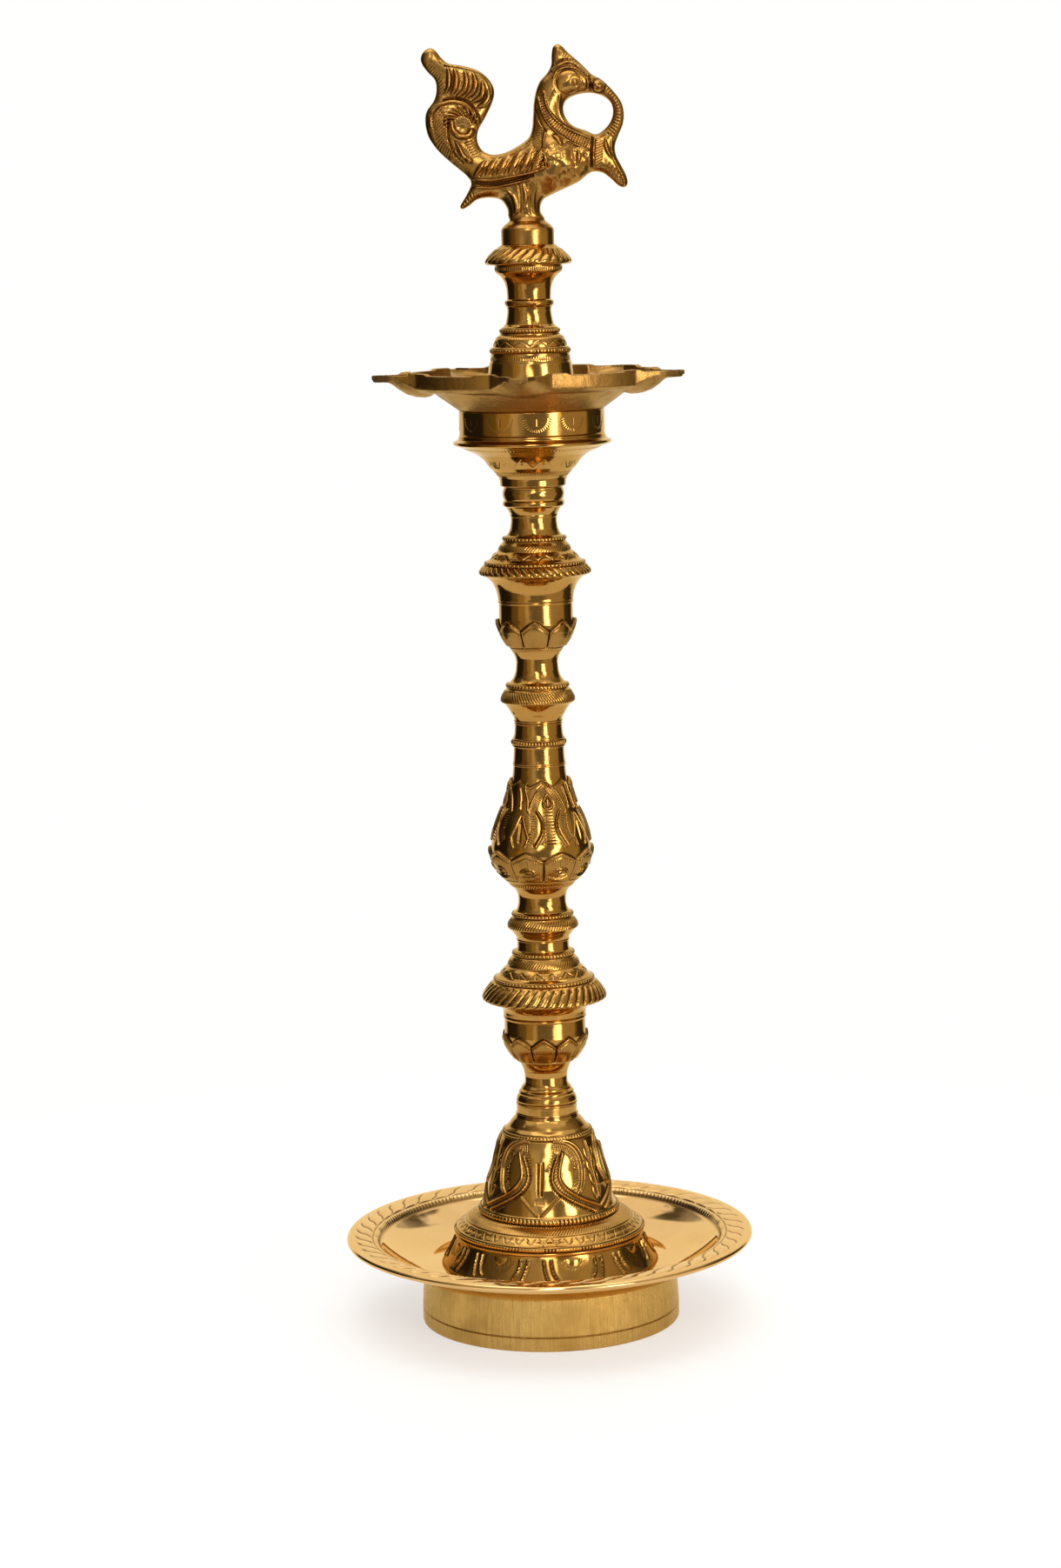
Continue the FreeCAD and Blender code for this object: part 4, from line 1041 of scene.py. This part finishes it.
class BirdField:
    """The bird as a smooth solid: distance-like values, negative inside."""

    STEP = 0.25

    def __init__(self):
        self.x0, self.z0 = -51.0, 516.0
        xs = self.x0 + self.STEP * np.arange(402)
        zs = self.z0 + self.STEP * np.arange(382)
        x, z = np.meshgrid(xs, zs, indexing="ij")
        outline = TAIL_BACK + RUMP + BREAST + LAPPET + HEAD + BACK + TAIL_FRONT
        depth = np.minimum(signed_depth(x, z, outline), -signed_depth(x, z, LOOP_HOLE))
        weight, thick, edge = 0, 0, 0
        for bx, bz, t, e in BULK:
            w = np.exp(-((x - bx) ** 2 + (z - bz) ** 2) / (2 * 5.0 ** 2)) + 1e-9
            weight, thick, edge = weight + w, thick + w * t, edge + w * e
        self.relief = bird_relief(x, z)
        self.depth, self.edge = depth, edge / weight
        self.thick = np.maximum(thick / weight + self.relief * smoothstep(0.2, 1.6, depth), 0.8)

    def sample(self, table, x, z):
        u, v = (x - self.x0) / self.STEP, (z - self.z0) / self.STEP
        i = np.clip(np.floor(u).astype(int), 0, table.shape[0] - 2)
        j = np.clip(np.floor(v).astype(int), 0, table.shape[1] - 2)
        s, t = u - i, v - j
        return ((table[i, j] * (1 - s) + table[i + 1, j] * s) * (1 - t) + (table[i,
            j + 1] * (1 - s) + table[i + 1, j + 1] * s) * t)

    def __call__(self, x, y, z):
        depth, edge, thick = (self.sample(t, x, z) for t in (self.depth, self.edge, self.thick))
        bevel = np.maximum(0, 1 - depth / edge)
        body = (np.sqrt((y / thick) ** 2 + bevel ** 2) - 1) * np.minimum(thick, edge)
        radius = profile(z, [(518, 12.4), (524.8, 12.4), (525.8, 12.1), (527.4, 10.7), (529, 8.6),
            (531, 7.1), (533, 6), (536, 5.4), (539, 4.6), (542, 1), (544, -4)])
        rho = np.hypot(x, y)
        shape = soft_min(body + 40.0 * (z < 528.0), rho - radius, 1.6)
        socket = np.minimum(BIRD_BORE_R - rho, 529.0 - z)
        return np.maximum(np.maximum(shape, 518.0 - z), socket)


def surface_net(field, lows, counts, step):
    """The zero surface of a field, as quads of a net with one vertex in each crossed cell."""
    xs, ys, zs = (low + step * np.arange(count) for low, count in zip(lows, counts))
    x, z = np.meshgrid(xs, zs, indexing="ij")
    values = np.stack([field(x, y, z) for y in ys], 1).astype(np.float32)
    solid = values < 0
    shape = tuple(n - 1 for n in counts)

    def shifted(array, a, b, c):
        return array[a:a + shape[0], b:b + shape[1], c:c + shape[2]]

    total = sum(shifted(solid, *corner).astype(np.int8) for corner in CUBE)
    crossed = (total > 0) & (total < 8)
    cells = np.argwhere(crossed)
    number = np.full(shape, -1, np.int64)
    number[crossed] = np.arange(len(cells))
    at_corner = {corner: values[tuple((cells + corner).T)] for corner in CUBE}
    place = np.zeros((len(cells), 3))
    hits = np.zeros(len(cells))
    for start in CUBE:
        for axis in range(3):
            if start[axis]:
                continue
            end = tuple(v + (k == axis) for k, v in enumerate(start))
            a, b = at_corner[start], at_corner[end]
            hit = (a < 0) != (b < 0)
            t = np.where(hit, a / np.where(hit, a - b, 1), 0)
            place += (np.array(start, float) + np.eye(3)[axis] * t[:, None]) * hit[:, None]
            hits += hit
    verts = np.array(lows) + (cells + place / hits[:, None]) * step
    quads = []
    for axis in range(3):
        here = np.moveaxis(np.moveaxis(solid, axis, 0)[:-1], 0, axis)
        edges = np.argwhere(np.diff(solid, axis=axis))
        b, c = (axis + 1) % 3, (axis + 2) % 3
        keep = (edges[:, b] > 0) & (edges[:, c] > 0) & (edges[:, b] < counts[b] - 1) & (edges[:,
            c] < counts[c] - 1)
        edges = edges[keep]
        ring = []
        for db, dc in ((1, 1), (0, 1), (0, 0), (1, 0)):
            cell = edges.copy()
            cell[:, b] -= db
            cell[:, c] -= dc
            ring.append(number[tuple(cell.T)])
        quad = np.stack(ring, 1)
        inward = ~here[tuple(edges.T)]
        quad[inward] = quad[inward][:, ::-1]
        quads.append(quad)
    return verts, np.vstack(quads)


def bird():
    """The chased casting: a net over the field, pulled onto its exact surface."""
    field = BirdField()
    step = 0.34
    verts, quads = surface_net(field, (-50, -15.3, 517.2), (292, 91, 276), step)
    for _ in range(3):
        x, y, z = verts.T
        here = field(x, y, z)
        tiny = 0.06
        slope = np.stack([field(x + tiny, y, z) - here, field(x, y + tiny, z) - here,
            field(x, y, z + tiny) - here], 1) / tiny
        pull = here[:, None] * slope / np.maximum((slope ** 2).sum(1), 0.2)[:, None]
        reach = np.linalg.norm(pull, axis=1)[:, None]
        verts = verts - pull * np.minimum(1, 0.35 * step / np.maximum(reach, 1e-9))
    skin = lumps(verts, 1.3, 8) * 0.05 + lumps(verts, 4.0, 9) * 0.07
    verts[:, 1] += np.sign(verts[:, 1]) * skin * (verts[:, 2] > 530)
    # darker in the hollows of the chased relief, on the flat sides only
    darkening = np.clip((blurred(field.relief, 10) - field.relief) / 0.45, 0, 1)
    flat = smoothstep(0.5, 2.0, np.abs(verts[:, 1]))
    return mesh_object("bird", verts, quads, field.sample(darkening, verts[:, 0], verts[:, 2]) * flat)


# ---------------------------------------------------------------- materials
class Nodes:
    """A short way to write a node tree."""

    def __init__(self, tree):
        self.tree = tree
        tree.nodes.clear()

    def add(self, kind, inputs=(), **settings):
        node = self.tree.nodes.new(kind)
        for key, value in settings.items():
            setattr(node, key, value)
        for key, value in dict(inputs).items():
            self.put(node.inputs[key], value)
        return node

    def put(self, socket, value):
        if hasattr(value, "is_output"):
            self.tree.links.new(value, socket)
        elif hasattr(value, "outputs"):
            self.tree.links.new(value.outputs[0], socket)
        else:
            socket.default_value = value

    def math(self, operation, a, b=0.0):
        return self.add("ShaderNodeMath", {0: a, 1: b}, operation=operation).outputs[0]

    def times(self, a, b):
        return self.math("MULTIPLY", a, b)

    def plus(self, a, b):
        return self.math("ADD", a, b)

    def plane(self, u, v):
        return self.add("ShaderNodeCombineXYZ", {0: u, 1: v}).outputs[0]

    def ramp(self, value, low, high, to_low=0.0, to_high=1.0, smooth=False):
        node = self.add("ShaderNodeMapRange", {0: value, 1: low, 2: high, 3: to_low, 4: to_high})
        node.interpolation_type = "SMOOTHSTEP" if smooth else "LINEAR"
        return node.outputs[0]

    def band(self, value, low, high, soft):
        rise = self.ramp(value, low - soft, low + soft, smooth=True)
        fall = self.ramp(value, high - soft, high + soft, 1.0, 0.0, smooth=True)
        return self.times(rise, fall)

    def mix(self, amount, a, b, blend="MIX"):
        node = self.add("ShaderNodeMix", data_type="RGBA", blend_type=blend)
        self.put(node.inputs[0], amount)
        self.put(node.inputs[6], a)
        self.put(node.inputs[7], b)
        return node.outputs[2]

    def profile(self, place, tones):
        """A colour for each place between 0 and 1, through (place, grey, warmth) tones."""
        node = self.add("ShaderNodeValToRGB", {0: place})
        stops = node.color_ramp.elements
        while len(stops) < len(tones):
            stops.new(0.5)
        for stop, (where, grey, warmth) in zip(stops, tones):
            stop.position = where
            stop.color = (grey * (1 + 0.25 * warmth), grey, grey * (1 - 0.5 * warmth), 1)
        return node.outputs[0]

    def noise(self, place, scale, detail=2.0, rough=0.5):
        node = self.add("ShaderNodeTexNoise", {"Vector": place, "Scale": scale, "Detail": detail,
            "Roughness": rough})
        return node.outputs[0]


def brass(name, colour, dark, rough, grain, cast=0.0, turned_marks=0.0, brushed=0.0, tarnish=0.0,
        waves=0.045):
    """Brass, darkened where its mesh's cut value is high.

    colour and dark are linear colours of the clean metal and of its darkened parts. grain is the
    bump of fine scratches, cast the bump of a sand-cast skin, turned_marks of a lathe's rings,
    brushed of upright brush marks, tarnish the share of dull patches, and waves the bump of slow
    dents."""
    material = bpy.data.materials.new(name)
    material.use_nodes = True
    n = Nodes(material.node_tree)
    out = n.add("ShaderNodeOutputMaterial")
    shader = n.add("ShaderNodeBsdfPrincipled", {"Metallic": 1.0,
        "Specular Tint": (1, 0.88, 0.62, 1)})
    n.put(out.inputs[0], shader)
    place = n.add("ShaderNodeTexCoord").outputs["Object"]
    axes = n.add("ShaderNodeSeparateXYZ", {0: place})
    x, y, z = axes.outputs
    radius = n.math("SQRT", n.plus(n.times(x, x), n.times(y, y)))
    around = n.math("ARCTAN2", y, x)
    patches = n.noise(place, 60.0, 4.0, 0.6)
    clouds = n.noise(place, 16.0, 3.0, 0.5)
    fine = n.noise(place, 900.0, 2.0, 0.6)
    rings = n.noise(n.plane(z, radius), 1700.0, 3.0, 0.7)
    brush = n.noise(n.plane(n.times(around, 60.0), n.times(z, 9.0)), 6.0, 4.0, 0.75)
    # share of the dark colour, from the cut attribute: darker in deeper cuts, soot on the spout
    # tips, duller petals
    darkened = n.ramp(n.add("ShaderNodeAttribute", attribute_name="cut").outputs["Fac"], 0.08, 0.85)
    # colour: slow drift between yellower and redder metal, dull patches, dark cuts
    redder = (colour[0] * 0.96, colour[1] * 0.88, colour[2] * 0.74, 1)
    clean = n.mix(n.ramp(clouds, 0.35, 0.7), (*colour, 1), redder)
    dull = (colour[0] * 0.6, colour[1] * 0.54, colour[2] * 0.42, 1)
    worn = n.mix(n.times(n.ramp(patches, 0.45, 0.72, smooth=True), tarnish), clean, dull)
    if brushed:
        broad = n.noise(n.plane(n.times(around, 12.0), n.times(z, 9.0)), 6.0, 4.0, 0.7)
        worn = n.mix(n.ramp(broad, 0.42, 0.66, 0.0, 0.62), worn, dull)
    n.put(shader.inputs["Base Color"], n.mix(n.times(darkened, 0.82), worn, (*dark, 1)))
    # roughness: patches, scratches, and rougher where darkened
    base_rough = n.ramp(patches, 0.3, 0.75, rough * 0.75, rough * 1.35)
    streaks = n.ramp(rings if brushed == 0 else brush, 0.3, 0.7, -0.2 * min(rough, 0.1),
        0.5 * min(rough, 0.1))
    clean_rough = n.plus(base_rough, streaks)
    n.put(shader.inputs["Roughness"], n.plus(clean_rough, n.times(darkened, 0.3)))
    # bump, from the finest marks to the coarsest
    height = n.times(fine, grain)
    if turned_marks:
        height = n.plus(height, n.times(rings, turned_marks))
    if brushed:
        height = n.plus(height, n.times(brush, brushed))
    if cast:
        pits = n.noise(place, 420.0, 4.0, 0.65)
        dents = n.noise(place, 150.0, 2.0, 0.5)
        height = n.plus(height, n.times(pits, cast))
        height = n.plus(height, n.times(dents, cast * 1.6))
    dented = n.noise(place, 110.0, 1.0, 0.4)
    height = n.plus(height, n.times(dented, waves))
    bump = n.add("ShaderNodeBump", {"Height": height, "Strength": 1.0, "Distance": 0.001})
    n.put(shader.inputs["Normal"], bump)
    return material


POLISHED = brass("polished_brass", (0.455, 0.25, 0.064), (0.03, 0.012, 0.003), 0.1, 0.004,
    turned_marks=0.008, tarnish=0.5, waves=0.17)
PLATE = brass("plate_brass", (0.74, 0.485, 0.21), (0.17, 0.075, 0.018), 0.032, 0.0015,
    turned_marks=0.003, tarnish=0.15, waves=0.012)
SATIN = brass("satin_brass", (0.57, 0.36, 0.108), (0.12, 0.05, 0.012), 0.26, 0.012, brushed=0.16,
    tarnish=0.55)
CAST = brass("cast_brass", (0.37, 0.207, 0.06), (0.03, 0.016, 0.008), 0.37, 0.02, cast=0.2,
    tarnish=1.0)
ANTIQUE = brass("antique_brass", (0.43, 0.238, 0.066), (0.045, 0.018, 0.005), 0.2, 0.008,
    cast=0.04, tarnish=0.6)
THREAD = brass("threaded_brass", (0.52, 0.32, 0.1), (0.16, 0.08, 0.02), 0.28, 0.01,
    turned_marks=0.02, tarnish=0.2)


# ---------------------------------------------------------------- assembly of the pieces
BODIES = {"base": (foot_ring, base_plate, base_bell), "lower_stem": (bell_collar, lower_lotus_cup,
    lower_rope_flange, lower_baluster), "middle_stem": (vase, bead_collar),
    "upper_stem": (upper_baluster, upper_lotus_cup, upper_rope_flange, bulb_collar, drip_cup),
    "bowl": (bowl_drum, oil_bowl), "finial": (finial_neck, finial_rope_collar), "bird": (bird,)}
METALS = {foot_ring: ("satin_brass", SATIN), base_plate: ("polished_brass", PLATE),
    oil_bowl: ("cast_brass", CAST), bird: ("antique_brass", ANTIQUE)}


def mount(piece, node_name, body_name, metal):
    """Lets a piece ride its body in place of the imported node."""
    piece.data.materials.append(metal)
    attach(piece, body_name)
    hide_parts(node_name)


for body_name, makers in BODIES.items():
    for maker in makers:
        slot_name, metal = METALS.get(maker, ("polished_brass", POLISHED))
        piece = maker()
        piece.name = maker.__name__ + "_cast"
        mount(piece, maker.__name__, body_name, metal)

for node_name in ("tie_bolt", "lower_rod", "middle_rod", "upper_rod", "bowl_stud", "finial_stud",
        "bird_stud"):
    low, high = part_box(node_name)
    piece = threaded_rod(node_name + "_thread", (high[0] - low[0]) / 2 / MM, low[2] / MM,
        high[2] / MM)
    mount(piece, node_name, "base" if node_name == "tie_bolt" else node_name,
        THREAD)

for node_name in ("base_washer", "base_nut"):
    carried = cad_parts[node_name]
    carried.data.materials.clear()
    carried.data.materials.append(THREAD)


# ---------------------------------------------------------------- stage, light and camera
def floor_disc():
    """A pale round floor, just under the foot."""
    radius, columns = 0.52, 128
    angle = np.arange(columns) * TWO_PI / columns
    ring = np.stack([radius * np.cos(angle), radius * np.sin(angle), 0 * angle], 1)
    mesh = bpy.data.meshes.new("floor")
    mesh.from_pydata([tuple(v) for v in ring], [], [tuple(range(columns))])
    material = bpy.data.materials.new("pale_floor")
    material.use_nodes = True
    n = Nodes(material.node_tree)
    out = n.add("ShaderNodeOutputMaterial")
    shader = n.add("ShaderNodeBsdfPrincipled", {"Base Color": (0.42, 0.42, 0.43, 1),
        "Roughness": 0.9, "Emission Color": (1, 1, 1, 1), "Emission Strength": 0.56})
    n.put(out.inputs[0], shader)
    mesh.materials.append(material)
    return link(bpy.data.objects.new("floor", mesh))


# brightness of the room by direction, from behind the lamp round its left, front and right side
WALL_TONES = [(at / 360 + 0.5, grey, warmth) for at, grey, warmth in ((-180, 1, 0), (-144, 0.9, 0),
    (-136, 0.02, 0.3), (-90, 0.03, 0.4), (-78, 0.16, 0.9), (-58, 0.2, 1.2), (-50, 0.42, 1.1),
    (-38, 0.46, 1), (-32, 0.85, 0.2), (-20, 0.8, 0.1), (-14, 0.26, 0.2), (22, 0.3, 0.2),
    (48, 0.55, 0.5), (92, 0.5, 0.8), (104, 0.08, 0.5), (134, 0.03, 0.3), (146, 0.9, 0))]
UPPER_TONES = [(at / 360 + 0.5, grey, warmth) for at, grey, warmth in ((-180, 0.9, 0),
    (-150, 0.6, 0.2), (-132, 0.1, 0.5), (-80, 0.14, 0.6), (-50, 0.42, 0.7), (-20, 0.6, 0.3),
    (16, 0.52, 0.3), (50, 0.66, 0.4), (88, 0.42, 0.7), (130, 0.12, 0.5), (150, 0.6, 0.2),
    (180, 0.9, 0))]


def studio_world():
    """A white room behind the lamp, a darker one in front of it, and soft boxes near the camera."""
    world = bpy.data.worlds.new("studio")
    bpy.context.scene.world = world
    world.use_nodes = True
    n = Nodes(world.node_tree)
    out = n.add("ShaderNodeOutputWorld")
    direction = n.add("ShaderNodeTexCoord").outputs["Generated"]
    x, y, z = n.add("ShaderNodeSeparateXYZ", {0: direction}).outputs
    # the room's edges wander by a few degrees, as those of real furniture and curtains do
    wander = n.math("SUBTRACT", n.noise(direction, 3.2, 2.0, 0.5), 0.5)
    toward = n.times(n.math("ARCTAN2", x, n.times(y, -1.0)), 180 / math.pi)
    spread = n.math("ABSOLUTE", toward)
    toward = n.plus(toward, n.times(wander, 42.0))
    rise = n.times(n.math("ARCSINE", z), 180 / math.pi)
    rise = n.math("SUBTRACT", rise, n.times(wander, 34.0))
    level = n.profile(n.ramp(toward, -180.0, 180.0), WALL_TONES)
    upper = n.profile(n.ramp(toward, -180.0, 180.0), UPPER_TONES)
    room = n.mix(n.ramp(rise, 16.0, 34.0, smooth=True), level, upper)
    lifted = n.plus(rise, n.ramp(spread, 60.0, 84.0, 0.0, 12.0))
    room = n.mix(n.ramp(lifted, 55.0, 61.0, smooth=True), room, (1.1, 1.07, 1.02, 1))
    behind = n.ramp(spread, 143.0, 147.0, smooth=True)
    room = n.mix(behind, room, (1.1, 1.08, 1.05, 1))
    key = n.times(n.band(toward, 29.0, 46.0, 3.5), n.band(rise, -14.0, 26.0, 6.0))
    high = n.times(n.band(toward, -9.0, 8.0, 4.0), n.band(rise, 12.0, 56.0, 7.0))
    room = n.mix(key, room, (11, 10.6, 9.8, 1))
    room = n.mix(high, room, (8.5, 8.2, 7.6, 1))
    seen = n.add("ShaderNodeLightPath").outputs["Is Camera Ray"]
    light = n.add("ShaderNodeBackground", {"Color": n.mix(seen, room, (1, 1, 0.995, 1)),
        "Strength": 1.0})
    n.put(out.inputs[0], light)


def area_light(name, place, target, size, power, colour):
    data = bpy.data.lights.new(name, "AREA")
    data.shape = "RECTANGLE"
    data.size, data.size_y = size
    data.energy = power
    data.color = colour
    thing = link(bpy.data.objects.new(name, data))
    aim = Vector(target) - Vector(place)
    thing.matrix_world = Matrix.Translation(place) @ aim.to_track_quat("-Z",
        "Y").to_matrix().to_4x4()


def camera():
    """The camera stands 1.7 m away, a little below the bowl's height, and looks slightly down."""
    data = bpy.data.cameras.new("camera")
    data.lens = 83.36
    data.sensor_width = 36
    data.clip_start, data.clip_end = 0.05, 30
    thing = link(bpy.data.objects.new("camera", data))
    thing.matrix_world = (Matrix.Translation((-0.0044, -1.72, 0.5227))
        @ Matrix.Rotation(math.radians(81.4), 4, "X") @ Matrix.Rotation(math.radians(-1.28), 4,
        "Z"))
    bpy.context.scene.camera = thing


floor_disc()
studio_world()
area_light("overhead", (0, 0.1, 2.2), (0, 0, 0), (1.8, 1.4), 12.0, (1, 0.99, 0.97))
camera()
bpy.context.scene.view_settings.view_transform = "Standard"
